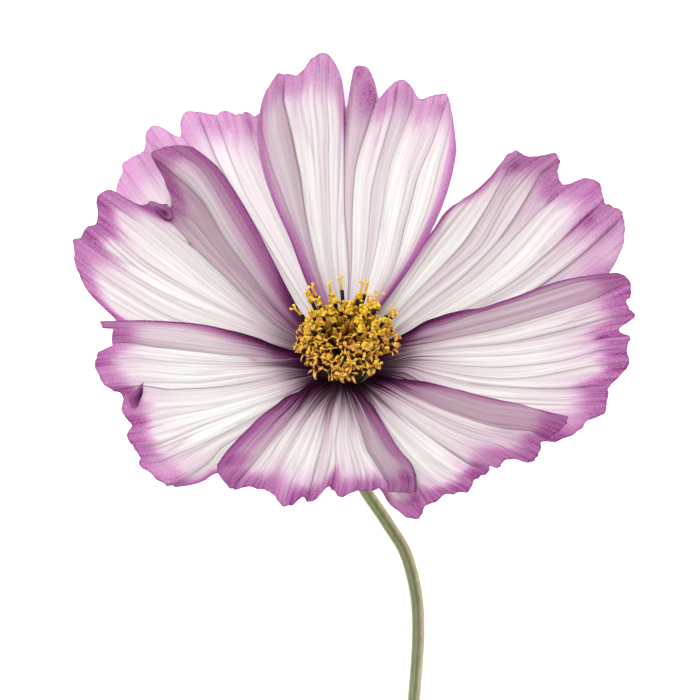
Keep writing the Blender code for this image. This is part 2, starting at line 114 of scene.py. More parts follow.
PETALS = {
    "petal_top": dict(
        azimuth=88, length=43.3, left=14, right=15, rise=15.4, bend=6, full=(0.72, 0.72),
        camber=0.08, lift=0.6, seed=11,
        lobes=[-1, -.72, -.60, -.32, -.08, .04, .23, .41, .63, .88, 1],
        edge=[(-1, .72), (-.94, .83), (-.88, .874), (-.78, .914), (-.62, .915), (-.54, .935),
              (-.46, .975), (-.32, .995), (-.22, .97), (-.14, .91), (-.08, .805),
              (-.045, .89), (-.01, .948), (.04, .956), (.12, .946), (.20, .893),
              (.235, .845), (.28, .866), (.44, .906), (.53, .893), (.64, .842), (.70, .847),
              (.88, .857), (.93, .81), (1, .66)],
        sides=([(0, 1.6), (.1, .95), (.31, .84), (.44, .90), (.57, .954), (.75, 1)], EVEN_SIDE),
        creases=[
            (.45, .3, .1, [(.2, -.70), (.42, -.755), (.6, -.87), (.72, -.95)]),
            (1., .7, .05, [(.2, -.547), (.52, -.551), (.65, -.602), (.82, -.733)]),
            (.4, .15, 0, [(.25, -.28), (.52, -.25), (.7, -.25), (.85, -.295)]),
            (.3, .4, 0, [(.31, -.175), (.52, -.14), (.68, -.13), (.87, -.153)]),
            (.9, 0, .4, [(.2, .022), (.31, -.022), (.45, -.072), (.82, -.105)]),
            (.8, .4, 0, [(.2, .05), (.46, .018), (.56, .026), (.75, .142), (.83, .208)]),
            (.25, .2, 0, [(.25, .208), (.42, .164), (.535, .149), (.6, .175), (.8, .30)]),
            (.6, .1, .3, [(.25, .262), (.5, .208), (.57, .23), (.8, .372), (.88, .405)]),
            (.5, .2, 0, [(.25, .375), (.5, .35), (.6, .372), (.73, .481), (.82, .558)]),
            (1., .25, 0, [(.2, .766), (.42, .652), (.535, .656), (.71, .788), (.85, .908)]),
            (.3, .1, 0, [(.3, .87), (.57, .853), (.75, .92)])],
        pads=[.2, .25, .05, 0, .05, .4, 0, 0, .15, 0, 0, .05],
        low=[(-1, .55), (-.9, .79), (-.7, .84), (-.45, .88), (-.2, .85), (-.09, .70),
             (0, .84), (.15, .74), (.25, .78), (.4, .80), (.6, .78), (.9, .76), (1, .45)],
        strength=0.54, pale=0.45,
        margins=((1.1, 1.3, 0.6, 0.4), (0.9, 0.9, 0.7, 0.5)),
        patches=[("purple", .14, .86, .04, .09, .75), ("purple", -.10, .78, .02, .08, .7),
                 ("purple", .40, .865, .025, .05, .75), ("purple", .05, .93, .08, .04, .6),
                 ("purple", .84, .81, .05, .04, .6), ("shade", .0, .80, .05, .08, .5)]),
    "petal_upper_right": dict(
        azimuth=33.6, length=40.2, left=13.8, right=14, rise=10.75, bend=6, full=(0.9, 0.8),
        camber=0.05, lift=-0.2, seed=23,
        lobes=[-1, -.95, -.85, -.64, -.26, -.10, .16, .45, 1],
        edge=[(-1.06, .82), (-1, .853), (-.95, .868), (-.86, .883), (-.74, .92), (-.64, .965), (-.58, .962),
              (-.48, .927), (-.34, .912), (-.30, .925), (-.24, .981), (-.17, .998),
              (-.05, 1.014), (.04, 1.0), (.14, .987), (.26, .996), (.37, 1.009), (.48, .994),
              (.60, .972), (.70, .944), (.78, .905), (.86, .855), (1, .74)],
        sides=([(0, 2.6), (.12, 1.5), (.3, 1.05), (.45, 1.03), (.515, 1.057), (.546, 1.045),
                (.588, .997), (.631, .946), (.677, .927), (.728, .93), (.787, .974),
                (.84, 1.03), (.92, 1.045)], HIDDEN_SIDE),
        flare=(-.1, -.25),
        creases=[
            (.3, 0, .1, [(.2, -.78), (.37, -.844), (.52, -.877), (.7, -.92)]),
            (.9, 0, .5, [(.2, -.538), (.37, -.512), (.46, -.527), (.62, -.648), (.8, -.888)]),
            (.35, .1, .2, [(.25, -.38), (.51, -.341), (.65, -.494), (.73, -.593), (.86, -.669)]),
            (.85, .1, .45, [(.2, -.15), (.37, -.144), (.47, -.177), (.68, -.341), (.88, -.582)]),
            (.5, .1, .3, [(.25, -.013), (.42, -.013), (.62, -.122), (.88, -.319)]),
            (.2, .1, 0, [(.25, .13), (.42, .118), (.56, .074), (.81, -.1)]),
            (.8, 0, .5, [(.37, .337), (.47, .337), (.7, .249), (.91, .14), (.98, .112)]),
            (.25, .1, .1, [(.3, .45), (.56, .46), (.68, .424), (.9, .337)]),
            (.85, .05, .35, [(.4, .60), (.6, .567), (.87, .501), (.99, .457)])],
        pads=[.1, .05, .35, .1, .3, .05, 0, .2, .05, .12],
        low=[(-1, .70), (-.8, .79), (-.6, .86), (-.35, .84), (-.1, .90), (0, .92), (.1, .84),
             (.3, .80), (.45, .84), (.6, .76), (1, .55)],
        strength=0.82,
        margins=((0.7, 0.5, 0.8, 0.2), (0.5, 0.4, 0.6, 0.3)),
        patches=[("purple", .155, .88, .03, .09, 1.), ("purple", .24, .90, .1, .05, .8),
                 ("purple", -.85, .83, .08, .04, .8), ("maroon", .14, .92, .015, .06, .5),
                 ("purple", -.27, .86, .02, .05, .8), ("maroon", -.05, .1, .08, .05, .4),
                 ("purple", -.62, .88, .02, .05, .7), ("purple", .7, .88, .16, .10, -.6)]),
    "petal_right": dict(
        azimuth=-13, length=42, left=14.5, right=15.6, rise=18, full=(0.85, 0.95),
        fold_left=(0.2, 1), roll=-5, seed=37,
        lobes=[-1, -.92, -.70, -.47, -.28, .06, .38, .62, .72, .84, 1],
        edge=[(-1, .80), (-.93, .856), (-.84, .877), (-.74, .883), (-.66, .875), (-.54, .895),
              (-.43, .926), (-.38, .908), (-.30, .87), (-.20, .916), (-.14, .923),
              (-.04, .92), (.08, .935), (.17, .941), (.26, .922), (.38, .876), (.48, .89),
              (.64, .892), (.69, .883), (.75, .832), (.85, .826), (.93, .79), (1, .72)],
        sides=([(0, 1.2), (.05, 1.25), (.11, 1.42), (.19, 1.253), (.28, 1.085), (.37, .951),
                (.46, .932), (.55, .963), (.63, .99)],
               [(0, .9), (.15, .95), (.25, 1)]), flare=(.3, -.1),
        creases=[
            (.5, .4, .1, [(.05, -1.5), (.15, -1.15), (.25, -.97), (.47, -.87), (.7, -.925)]),
            (1., .5, 0, [(.05, -1.1), (.1, -.83), (.22, -.612), (.4, -.536), (.5, -.56),
                         (.66, -.645), (.87, -.864)]),
            (.55, .05, .25, [(.1, -.50), (.25, -.372), (.45, -.295), (.62, -.339), (.9, -.47)]),
            (.45, .1, .15, [(.1, -.34), (.27, -.153), (.5, -.092), (.6, -.109), (.82, -.208)]),
            (.85, .1, .3, [(.09, -.24), (.14, -.131), (.32, .055), (.45, .092), (.65, .066),
                           (.82, -.044)]),
            (.6, .1, .25, [(.1, -.12), (.2, .0875), (.37, .24), (.47, .2625), (.81, .131)]),
            (.5, .1, .3, [(.1, .0), (.2, .22), (.4, .36), (.65, .372), (.82, .35)]),
            (.2, 0, .1, [(.1, .15), (.2, .45), (.4, .60), (.85, .58)])],
        pads=[.85, .7, .25, .1, .05, .05, 0, .1, .12],
        low=[(-1, .66), (-.8, .78), (-.6, .81), (-.45, .84), (-.25, .77), (-.1, .80),
             (.05, .86), (.2, .87), (.35, .77), (.5, .82), (.7, .78), (1, .55)],
        strength=1.0,
        margins=((0.5, 1.1, 0.95, 1.0), (0.5, 0.8, 0.7, 1.0)), root=(5.5, 0.95),
        patches=[("purple", -.22, .82, .07, .04, .95), ("maroon", -.13, .86, .05, .02, .35),
                 ("purple", .36, .80, .04, .06, .7), ("purple", -.1, .75, .02, .1, .2),
                 ("maroon", -.35, .13, .18, .05, .35), ("purple", .8, .79, .12, .05, -.5)]),
    "petal_lower_right": dict(
        azimuth=-58, length=38, left=13.6, right=15, rise=22, full=(1.1, 0.85),
        wedge=(1, 0.85), fold_left=(0.25, 0), roll=-5, lift=0.06, seed=41,
        lobes=[-1, -.9, -.6, -.37, -.14, 0, .05, .42, .80, .93, 1],
        edge=[(-1.09, .955), (-1.03, .968), (-.95, 1.008), (-.87, 1.022), (-.76, 1.0),
              (-.66, .978), (-.60, 1.01),
              (-.39, 1.09), (-.35, 1.07), (-.21, .96), (-.12, .973), (-.065, 1.006),
              (-.043, .961), (.01, .988), (.08, .957), (.14, .97), (.25, 1.013),
              (.36, 1.033), (.44, 1.017), (.52, .984), (.60, .982), (.70, .951), (.82, 1.0),
              (.91, 1.03), (.95, .97), (1, .80)],
        sides=([(0, 1.25), (.04, 1.25), (.11, 1.29), (.2, 1.197), (.3, 1.075), (.41, .977),
                (.52, .927), (.63, .928), (.72, .978), (.80, 1.012), (.90, 1.05), (1, 1.09)],
               [(0, 2.3), (.12, 1.35), (.3, 1), (.6, .86), (.72, .873), (.78, .905),
                (.85, .932), (.93, .942), (1, .96)]),
        flare=(.3, -.1),
        creases=[
            (1., .45, 0, [(.05, -1.25), (.137, -.866), (.187, -.691), (.25, -.582),
                          (.42, -.505), (.62, -.527), (.75, -.615), (.88, -.724)]),
            (.35, .1, .2, [(.1, -.3), (.37, -.221), (.52, -.221), (.68, -.254), (.87, -.341)]),
            (.3, .1, .1, [(.1, -.12), (.42, -.05), (.6, -.08), (.87, -.178)]),
            (.7, .3, 0, [(.1, .01), (.25, .03), (.5, .052), (.81, .052), (.97, .009)]),
            (.3, .1, .1, [(.1, .18), (.25, .216), (.56, .238), (.77, .249)]),
            (.3, .1, .1, [(.2, .40), (.5, .43), (.8, .46)]),
            (.7, .2, 0, [(.3, .62), (.6, .6), (.81, .6), (.9, .643), (.96, .687)])],
        pads=[.75, .35, .25, .25, .05, .1, .15, .15],
        low=[(-1, .80), (-.75, .90), (-.55, .86), (-.4, .92), (-.2, .80), (0, .86), (.1, .88),
             (.3, .92), (.5, .90), (.65, .82), (.8, .86), (1, .62)],
        strength=0.95,
        margins=((0.7, 1.0, 0.95, 1.0), (0.6, 0.5, 0.8, 0.8)), root=(6.5, 1.0),
        patches=[("maroon", -.6, .94, .06, .03, .35), ("purple", .93, .92, .04, .1, .6),
                 ("purple", -.13, .86, .03, .06, .6)]),
    "petal_bottom": dict(
        azimuth=-97, length=38, left=14.6, right=14, rise=23, bend=3, full=(0.95, 0.95),
        fold_left=(0.2, 0), fold_right=(0.2, 6), lift=0.68, seed=53,
        lobes=[-1, -.90, -.45, -.34, -.17, -.03, .04, .24, .42, .78, 1],
        edge=[(-1, .86), (-.93, .905), (-.83, .918), (-.59, .86), (-.44, .89), (-.39, .93),
              (-.32, .985), (-.27, .965), (-.155, .86), (-.10, .93), (-.05, 1.015),
              (0, 1.033), (.03, .995), (.068, .979), (.12, 1.045), (.18, 1.09), (.25, 1.108),
              (.30, 1.078), (.38, 1.0), (.44, .955), (.60, .968), (.82, 1.001), (.88, .975),
              (1, .88), (1.04, .82)],
        sides=([(0, .9), (.06, .95), (.11, 1.0), (.23, .902), (.36, .859), (.46, .854),
                (.57, .899), (.64, .966), (.72, 1)],
               [(0, 1.35), (.14, 1.333), (.25, 1.18), (.36, 1.11), (.48, 1.054), (.61, 1.04)]),
        creases=[
            (.9, .35, 0, [(.1, -.44), (.25, -.459), (.5, -.503), (.6, -.569), (.82, -.722)]),
            (.35, .1, .1, [(.2, -.13), (.42, -.11), (.56, -.131), (.71, -.164)]),
            (.4, 0, .2, [(.2, .022), (.35, -.02), (.47, -.06), (.62, -.0875), (.91, -.0875)]),
            (.85, .3, 0, [(.2, .13), (.3, .0875), (.42, .06), (.6, .05), (.96, .037)]),
            (.5, .2, 0, [(.1, .32), (.22, .2625), (.5, .2), (.62, .197), (.87, .24)]),
            (.3, .1, .1, [(.2, .42), (.5, .42), (.92, .426)]),
            (.9, 0, .35, [(.08, 1.2), (.187, .875), (.26, .766), (.37, .70), (.5, .667),
                          (.62, .667), (.75, .689), (.945, .777)])],
        pads=[.65, .1, .05, .2, 0, .05, .1, .42],
        low=[(-1, .62), (-.85, .76), (-.6, .77), (-.45, .78), (-.3, .80), (-.18, .68),
             (-.1, .84), (0, .86), (.1, .88), (.25, .86), (.42, .74), (.55, .85), (.7, .80),
             (.85, .68), (1.05, .45)],
        strength=0.95,
        margins=((1.1, 1.0, 1.0, 1.0), (2.0, 1.2, 0.95, 1.0)), root=(8.5, 1.0),
        patches=[("shade", .744, .23, .03, .03, 1.), ("purple", -.9, .80, .12, .08, .9),
                 ("purple", .95, .78, .18, .12, .9)]),
    "petal_lower_left": dict(
        azimuth=-147, length=38, left=15.6, right=15.8, rise=20, full=(0.85, 0.85),
        fold_right=(0.25, 7), roll=5, seed=67,
        lobes=[-1, -.66, -.52, -.32, -.15, .08, .20, .55, .76, .87, 1],
        edge=[(-1, .86), (-.95, .915), (-.90, .968), (-.84, .998), (-.74, 1.012),
              (-.64, 1.028), (-.52, .988), (-.40, 1.0), (-.28, .99), (-.18, .94),
              (-.14, .922), (-.04, .944), (.04, .932), (.14, .895), (.21, .872), (.27, .885),
              (.34, .916), (.46, .926), (.58, .914), (.68, .875), (.735, .853), (.775, .805),
              (.80, .767), (.87, .757), (.94, .735), (.967, .73), (.985, .752), (1, .765)],
        sides=([(0, 1.5), (.1, 1.3), (.3, 1), (.6, .95), (.72, .892), (.80, .935), (.87, .945), (.96, .93)],
               [(0, 1.3), (.05, 1.3), (.11, 1.42), (.18, 1.33), (.26, 1.224), (.34, 1.16),
                (.42, 1.11), (.51, 1.08), (.65, 1.06)]), flare=(-.1, .3),
        creases=[
            (.3, .1, .1, [(.5, -.60), (.61, -.648), (.71, -.757), (.82, -.844), (.92, -.91)]),
            (.55, .2, .05, [(.3, -.42), (.56, -.483), (.75, -.549), (.93, -.648)]),
            (.25, .1, 0, [(.3, -.28), (.6, -.33), (.75, -.385), (.9, -.45)]),
            (.3, 0, .15, [(.2, -.13), (.56, -.133), (.71, -.12), (.92, -.133)]),
            (.9, .3, 0, [(.075, .33), (.137, .249), (.224, .173), (.32, .129), (.42, .125),
                         (.62, .184), (.76, .293)]),
            (.3, .1, .1, [(.1, .42), (.2, .31), (.5, .238), (.62, .271), (.87, .359)]),
            (.3, .1, .1, [(.1, .62), (.27, .468), (.42, .446), (.56, .468), (.71, .555)]),
            (.9, 0, .4, [(.05, 1.2), (.1, .9275), (.174, .818), (.25, .742), (.32, .709),
                         (.42, .72), (.7, .818)])],
        pads=[.1, .05, 0, 0, .05, 0, 0, .05, .28],
        low=[(-1, .78), (-.8, .88), (-.6, .89), (-.4, .91), (-.15, .87), (0, .86), (.15, .82),
             (.3, .83), (.5, .85), (.65, .76), (.8, .70), (1, .62)],
        strength=0.9,
        margins=((0.5, 1.2, 0.7, 0.9), (0.45, 1.3, 0.95, 1.0)), root=(5.5, 1.0),
        horns=[([(.01, .895, -.12), (.05, .875, .15), (.11, .85, .4), (.17, .815, .5),
                 (.225, .787, .5), (.27, .77, .45), (.297, .752, .4)], 0.72, 0.8, 1.0)],
        patches=[("maroon", .12, .85, .05, .03, .5), ("shade", .68, .21, .08, .02, .7),
                 ("purple", -.75, .95, .18, .05, -.35), ("maroon", .0, .12, .14, .08, .4)]),
    "petal_upper_left": dict(
        azimuth=150, length=38, left=15, right=16, rise=16, full=(0.8, 0.8),
        wedge=(0.85, 1.35), lift=0.25, roll=5, seed=71,
        lobes=[-1, -.50, -.43, -.33, -.19, .06, .30, .76, 1],
        edge=[(-1, .65), (-.96, .69), (-.90, .80), (-.82, .872), (-.72, .925), (-.60, .957),
              (-.53, .977), (-.47, .963), (-.36, .967), (-.21, .946), (-.12, .969),
              (0, 1.003), (.10, .995), (.15, .97), (.19, .87), (.215, .847), (.31, .83),
              (.345, .79), (.39, .775), (.48, .805), (.57, .855), (.63, .91), (.69, .94),
              (.80, .918), (.90, .89), (1, .83)],
        sides=([(0, 2.9), (.12, 1.6), (.3, 1)],
               [(0, 1.3), (.15, 1.028), (.27, .9625), (.4, .945), (.56, .9625), (.71, 1.01)]),
        flare=(-.25, .3),
        creases=[
            (.25, .1, .1, [(.3, -.66), (.5, -.69), (.7, -.66)]),
            (.45, .1, .1, [(.3, -.40), (.6, -.47), (.96, -.492)]),
            (.3, .1, .1, [(.3, -.26), (.68, -.284), (.91, -.208)]),
            (.25, 0, .1, [(.15, -.2), (.3, -.14), (.6, -.02), (.8, .03)]),
            (.6, .1, .4, [(.137, -.0875), (.32, .044), (.42, .109), (.52, .142), (.71, .24)]),
            (.3, .1, .1, [(.2, .1), (.45, .306), (.56, .35), (.66, .394)]),
            (1., .7, .1, [(.187, .372), (.41, .448), (.51, .481), (.68, .6125), (.85, .656)]),
            (.3, .1, .35, [(.31, .7), (.45, .711), (.57, .744), (.76, .875)])],
        pads=[.05, .05, .05, .05, .1, .65, .65, .3, .5],
        low=[(-1, .50), (-.85, .82), (-.6, .87), (-.49, .76), (-.35, .90), (-.2, .84),
             (-.05, .93), (.1, .84), (.25, .72), (.4, .76), (.6, .84), (.8, .86), (1, .55)],
        strength=0.85,
        margins=((0.8, 0.5, 0.7, 0.3), (2.1, 1.9, 0.95, 1.0)), root=(6.5, 0.8),
        horns=[([(.28, .81, -.1), (.272, .796, .3), (.241, .773, .45), (.217, .749, .5),
                 (.227, .733, .5), (.279, .727, .5), (.322, .746, .45), (.36, .765, .4)],
                0.32, 0.95, 0.75),
               ([(.345, .755, .2), (.396, .778, .5), (.43, .795, .55), (.462, .812, .55),
                 (.498, .845, .5), (.53, .875, .2)], 0.4, 0.12, 0)],
        patches=[("maroon", .60, .90, .05, .03, .45), ("maroon", .285, .765, .05, .025, .85),
                 ("purple", .62, .90, .07, .05, 1.0),
                 ("purple", -.49, .88, .015, .08, .7), ("maroon", -.2, .1, .05, .05, .5)]),
    "petal_back_left": dict(
        azimuth=123.5, length=40.3, left=14.3, right=13, rise=10.95, full=(0.8, 0.8),
        lift=-0.3, seed=83,
        lobes=[-1, -.60, -.40, -.18, .02, .27, .48, .64, .76, .87, 1],
        edge=[(-1, .82), (-.94, .875), (-.88, .902), (-.76, .936), (-.70, .965), (-.52, .965),
              (-.40, .984), (-.28, 1.034), (-.22, 1.036), (-.12, 1.005), (-.03, .958),
              (.01, .965), (.06, 1.0), (.18, 1.031), (.26, 1.02), (.36, .995), (.48, .976),
              (.56, .968), (.68, .934), (.79, .93), (.84, .893), (.92, .90), (1, .86)],
        sides=(HIDDEN_SIDE, HIDDEN_SIDE), flare=(-.1, -.1),
        creases=[
            (.3, .1, .1, [(.4, -.60), (.93, -.746)]),
            (.3, .1, .1, [(.4, -.2), (1.0, -.31)]),
            (.7, .2, 0, [(.4, .12), (.6, .13), (.77, .162), (1.0, .293)]),
            (.5, .1, .1, [(.4, .22), (.62, .227), (.76, .293), (.97, .479)]),
            (.6, .1, .1, [(.4, .5), (.8, .643), (.87, .73), (.93, .796)])],
        pads=[0, 0, 0, 0, 0, .05],
        low=[(-1, .70), (-.6, .84), (-.2, .84), (0, .85), (.2, .90), (.5, .84), (.8, .76),
             (1, .65)],
        strength=0.5, pale=1.0,
        margins=((0.5, 0.4, 0.4, 0.2), (0.4, 0.4, 0.4, 0.2)),
        patches=[("purple", -.73, .92, .02, .05, .5), ("purple", .78, .89, .03, .06, .6)]),
}

# Receptacle, bracts and stem, close to the frame's. The top of the stem lies inside the
# receptacle.
RECEPTACLE = [(0.0, -6.18), (0.95, -6.18), (1.25, -5.2), (2.1, -3.9), (3.4, -2.5),
              (4.25, -1.5), (4.62, -0.8), (4.62, 1.0), (4.3, 1.65), (3.3, 2.35), (1.8, 2.8),
              (0.0, 2.9)]
RECEPTACLE_EDGE = 1.0
BARE_AZIMUTH, BARE_SPREAD = radians(-38), 0.42      # of the green shoulder, in radians
BARE_DEPTH = 2.3
BRACT_COUNT = 8
BRACT_THICKNESS = 0.22
INNER_BRACT = dict(root=4.96, height=-1.15, length=8.6, width=3.5, slope=6, bend=4,
                   cup=0.12, azimuth=10.0)
OUTER_BRACT = dict(root=4.14, height=-2.25, length=10.5, width=1.5, slope=-8, bend=-10,
                   cup=0.10, azimuth=-12.0)
BRACT_WIDTHS = [(0.0, 0.45), (0.2, 0.85), (0.45, 1.0), (0.7, 0.78), (0.88, 0.42), (1.0, 0.06)]
SEAM_GAP = 0.01
STEM_ROUTE = [(-0.69, -3.89, 13.31), (-1.36, -7.7, 8.8), (-1.5, -11.5, 5.4), (-0.8, -15.0, 3.6),
              (0.6, -18.4, 2.45), (3.82, -23.4, 1.38), (6.6, -28.4, 0.98), (8.1, -36.5, 0.88),
              (7.5, -48.5, 0.88), (5.6, -66.0, 0.88), (4.2, -84.0, 0.88), (4.6, -100.0, 0.88),
              (6.0, -116.0, 0.88)]
HEAD_HEIGHT = 17.9
STEM_RADIUS = 0.82
STEM_RIBS = 6
STEM_RIB_DEPTH = 0.06
STEM_STEPS = 16           # rings between two points of the route
YOUNG_SHARE = 0.34        # share of the stem, from the flower down, that is fresh green

# Disc florets: rings on the domed top, as (radius, count, first azimuth, length at the
# front, length at the back).
FLORET_RINGS = [(0.5, 4, 20.0, 5.2, 5.4), (1.45, 10, 0.0, 5.6, 5.4),
                (2.35, 16, 12.0, 5.7, 5.4), (3.25, 23, 4.0, 5.2, 5.7),
                (4.1, 29, 9.0, 4.6, 7.4)]
LAST_RING = len(FLORET_RINGS) - 1
DISC_RADIUS = FLORET_RINGS[LAST_RING][0]
BARE_PLACES = (25, 26)    # florets gone from the last ring, where the green shoulder shows
FLORET_FOOT = 0.58        # between the receptacle's dome and a floret's foot
FLORET_LEAN = 42.0
LEAN_GROWTH = 1.2
STRAND_SIDES, STRAND_ROWS = 8, 11
COROLLA_SIDES = 15

# The view and the stage.
CAMERA_DISTANCE = 4000.0
VIEW_WIDTH = 100.52
VIEW_CENTRE = (0.718, 1.723)
SENSOR_WIDTH = 36.0
FLOOR_SIZE = 40.0         # in metres
FLOOR_GAP = 0.0002        # in metres
DAYLIGHT = 0.75
LAMPS = (("key_light", (-0.5, 0.7, 1.0), 0.5, 9.0),      # place and size in metres, watts
         ("fill_light", (0.9, -0.3, 1.0), 0.9, 6.0))

receptacle_low, receptacle_high = (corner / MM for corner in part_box("receptacle"))
HEAD_CENTRE = (receptacle_low + receptacle_high) / 2 + HEAD_FROM_RECEPTACLE
LAID = Matrix.Translation(HEAD_CENTRE) @ Euler((0, radians(LAID_TURN), 0)).to_matrix().to_4x4()
HEAD = LAID @ Euler((radians(-HEAD_LEAN), 0, 0)).to_matrix().to_4x4()


# ---------------------------------------------------------------- making meshes

def wander(x, seed):
    """A smooth random line from -1 to 1 with a knot at every whole number of x."""
    knots = np.random.RandomState(seed).uniform(-1, 1, 997)
    whole = np.floor(x).astype(int)
    part = x - whole
    part = part * part * (3 - 2 * part)
    return knots[whole % 997] * (1 - part) + knots[(whole + 1) % 997] * part


def wander_2d(x, y, seed):
    """A smooth random field from -1 to 1."""
    knots = np.random.RandomState(seed).uniform(-1, 1, (97, 97))
    i, j = np.floor(x).astype(int), np.floor(y).astype(int)
    a, b = x - i, y - j
    a, b = a * a * (3 - 2 * a), b * b * (3 - 2 * b)
    i, j, i1, j1 = i % 97, j % 97, (i + 1) % 97, (j + 1) % 97
    return ((knots[i, j] * (1 - a) + knots[i1, j] * a) * (1 - b)
            + (knots[i, j1] * (1 - a) + knots[i1, j1] * a) * b)


def smooth_step(low, high, x):
    t = np.clip((x - low) / (high - low), 0, 1)
    return t * t * (3 - 2 * t)


def only(obj):
    """Selects one object and nothing else."""
    if bpy.context.object and bpy.context.object.mode != "OBJECT":
        bpy.ops.object.mode_set(mode="OBJECT")
    bpy.ops.object.select_all(action="DESELECT")
    obj.select_set(True)
    bpy.context.view_layer.objects.active = obj


def grid_piece(name, columns, rows):
    """A flat grid two units wide, centred on the origin, ready to be shaped."""
    bpy.ops.object.select_all(action="DESELECT")
    bpy.ops.mesh.primitive_grid_add(x_subdivisions=columns, y_subdivisions=rows, size=2.0)
    obj = bpy.context.object
    obj.name = obj.data.name = name
    return obj


def grid_places(obj):
    """Each vertex's place on the flat grid: across from -1 to 1, along from 0 to 1."""
    co = np.zeros(len(obj.data.vertices) * 3)
    obj.data.vertices.foreach_get("co", co)
    co = co.reshape(-1, 3)
    return co[:, 0].copy(), (co[:, 1] + 1) / 2


def set_points(obj, points):
    obj.data.vertices.foreach_set("co", (np.asarray(points) * MM).astype(np.float32).ravel())
    obj.data.update()


def get_points(obj):
    co = np.zeros(len(obj.data.vertices) * 3)
    obj.data.vertices.foreach_get("co", co)
    return co.reshape(-1, 3) / MM


def add_values(obj, name, values):
    """Stores one number a vertex under a name that a material can read."""
    layer = obj.data.attributes.new(name, "FLOAT", "POINT")
    layer.data.foreach_set("value", np.asarray(values, np.float32))


def map_surface(obj, across, along):
    """Writes the UV map: across and along the piece."""
    layer = obj.data.uv_layers.active or obj.data.uv_layers.new(name="UVMap")
    corner = np.zeros(len(obj.data.loops), int)
    obj.data.loops.foreach_get("vertex_index", corner)
    uv = np.stack([across[corner], along[corner]], 1).astype(np.float32)
    layer.data.foreach_set("uv", uv.ravel())


def place(obj, matrix):
    """Moves the points of a mesh, leaving its object at the origin."""
    turn = np.array(matrix)
    set_points(obj, get_points(obj) @ turn[:3, :3].T + turn[:3, 3])


def thicken(obj, thickness):
    """Gives a sheet its thickness, half to each side."""
    only(obj)
    wall = obj.modifiers.new("thickness", "SOLIDIFY")
    wall.thickness = thickness * MM
    wall.offset = 0.0
    bpy.ops.object.modifier_apply(modifier=wall.name)


def finish_piece(obj, material, node):
    """Smooth shading and material, then the frame: the piece goes on the root body and the node that it
    stands for is hidden.
    """
    only(obj)
    bpy.ops.object.shade_smooth()
    if material is not None:
        obj.data.materials.clear()
        obj.data.materials.append(material)
    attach(obj, "root")
    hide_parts(node)


# ---------------------------------------------------------------- materials

def colour(red, green, blue):
    """A display colour from 0 to 255 as the linear values that a shader takes."""
    def linear(c):
        c /= 255
        return c / 12.92 if c <= 0.04045 else ((c + 0.055) / 1.055) ** 2.4
    return (linear(red), linear(green), linear(blue), 1.0)


class Finish:
    """A material's nodes, added one by one."""

    def __init__(self, name):
        self.material = bpy.data.materials.new(name)
        self.material.use_nodes = True
        self.tree = self.material.node_tree
        self.tree.nodes.clear()

    def add(self, kind, inputs=None, **settings):
        made = self.tree.nodes.new(kind)
        for key, value in settings.items():
            setattr(made, key, value)
        for key, value in (inputs or {}).items():
            self.feed(made.inputs[key], value)
        return made

    def feed(self, socket, value):
        if isinstance(value, bpy.types.NodeSocket):
            self.tree.links.new(value, socket)
        else:
            socket.default_value = value

    def value(self, name):
        return self.add("ShaderNodeAttribute", attribute_name=name).outputs["Fac"]

    def math(self, operation, a, b=0.0, c=0.0, clamp=False):
        made = self.add("ShaderNodeMath", operation=operation, use_clamp=clamp)
        for socket, value in zip(made.inputs, (a, b, c)):
            self.feed(socket, value)
        return made.outputs[0]

    def mix(self, share, a, b, blend="MIX"):
        made = self.add("ShaderNodeMix", data_type="RGBA", blend_type=blend, clamp_factor=True)
        self.feed(made.inputs[0], share)
        self.feed(made.inputs[6], a)
        self.feed(made.inputs[7], b)
        return made.outputs[2]

    def place(self):
        return self.add("ShaderNodeTexCoord").outputs["Object"]

    def stretched(self, source, scale):
        return self.add("ShaderNodeMapping", {"Vector": source, "Scale": scale}).outputs[0]

    def noise(self, vector, scale, detail=2.0, rough=0.5):
        return self.add("ShaderNodeTexNoise", {"Vector": vector, "Scale": scale,
                                               "Detail": detail, "Roughness": rough}).outputs["Fac"]

    def ramp(self, share, *stops):
        made = self.add("ShaderNodeValToRGB", {"Fac": share})
        band = made.color_ramp
        while len(band.elements) < len(stops):
            band.elements.new(0.5)
        for element, (at, tint) in zip(band.elements, stops):
            element.position = at
            element.color = tint if len(tint) == 4 else (*tint, 1)
        return made.outputs["Color"]

    def level(self, value, low, high, out_low=0.0, out_high=1.0):
        made = self.add("ShaderNodeMapRange", interpolation_type="SMOOTHSTEP")
        for key, v in zip(("Value", "From Min", "From Max", "To Min", "To Max"),
                          (value, low, high, out_low, out_high)):
            self.feed(made.inputs[key], v)
        return made.outputs[0]

    def bump(self, height, strength, distance):
        return self.add("ShaderNodeBump", {"Height": height, "Strength": strength,
                                           "Distance": distance * MM}).outputs[0]

    def skin(self, paint, roughness, normal, shine=0.3):
        return self.add("ShaderNodeBsdfPrincipled", {
            "Base Color": paint, "Roughness": roughness, "Specular IOR Level": shine,
            "Normal": normal}).outputs[0]

    def end(self, shader):
        out = self.add("ShaderNodeOutputMaterial")
        self.tree.links.new(shader, out.inputs["Surface"])
        return self.material


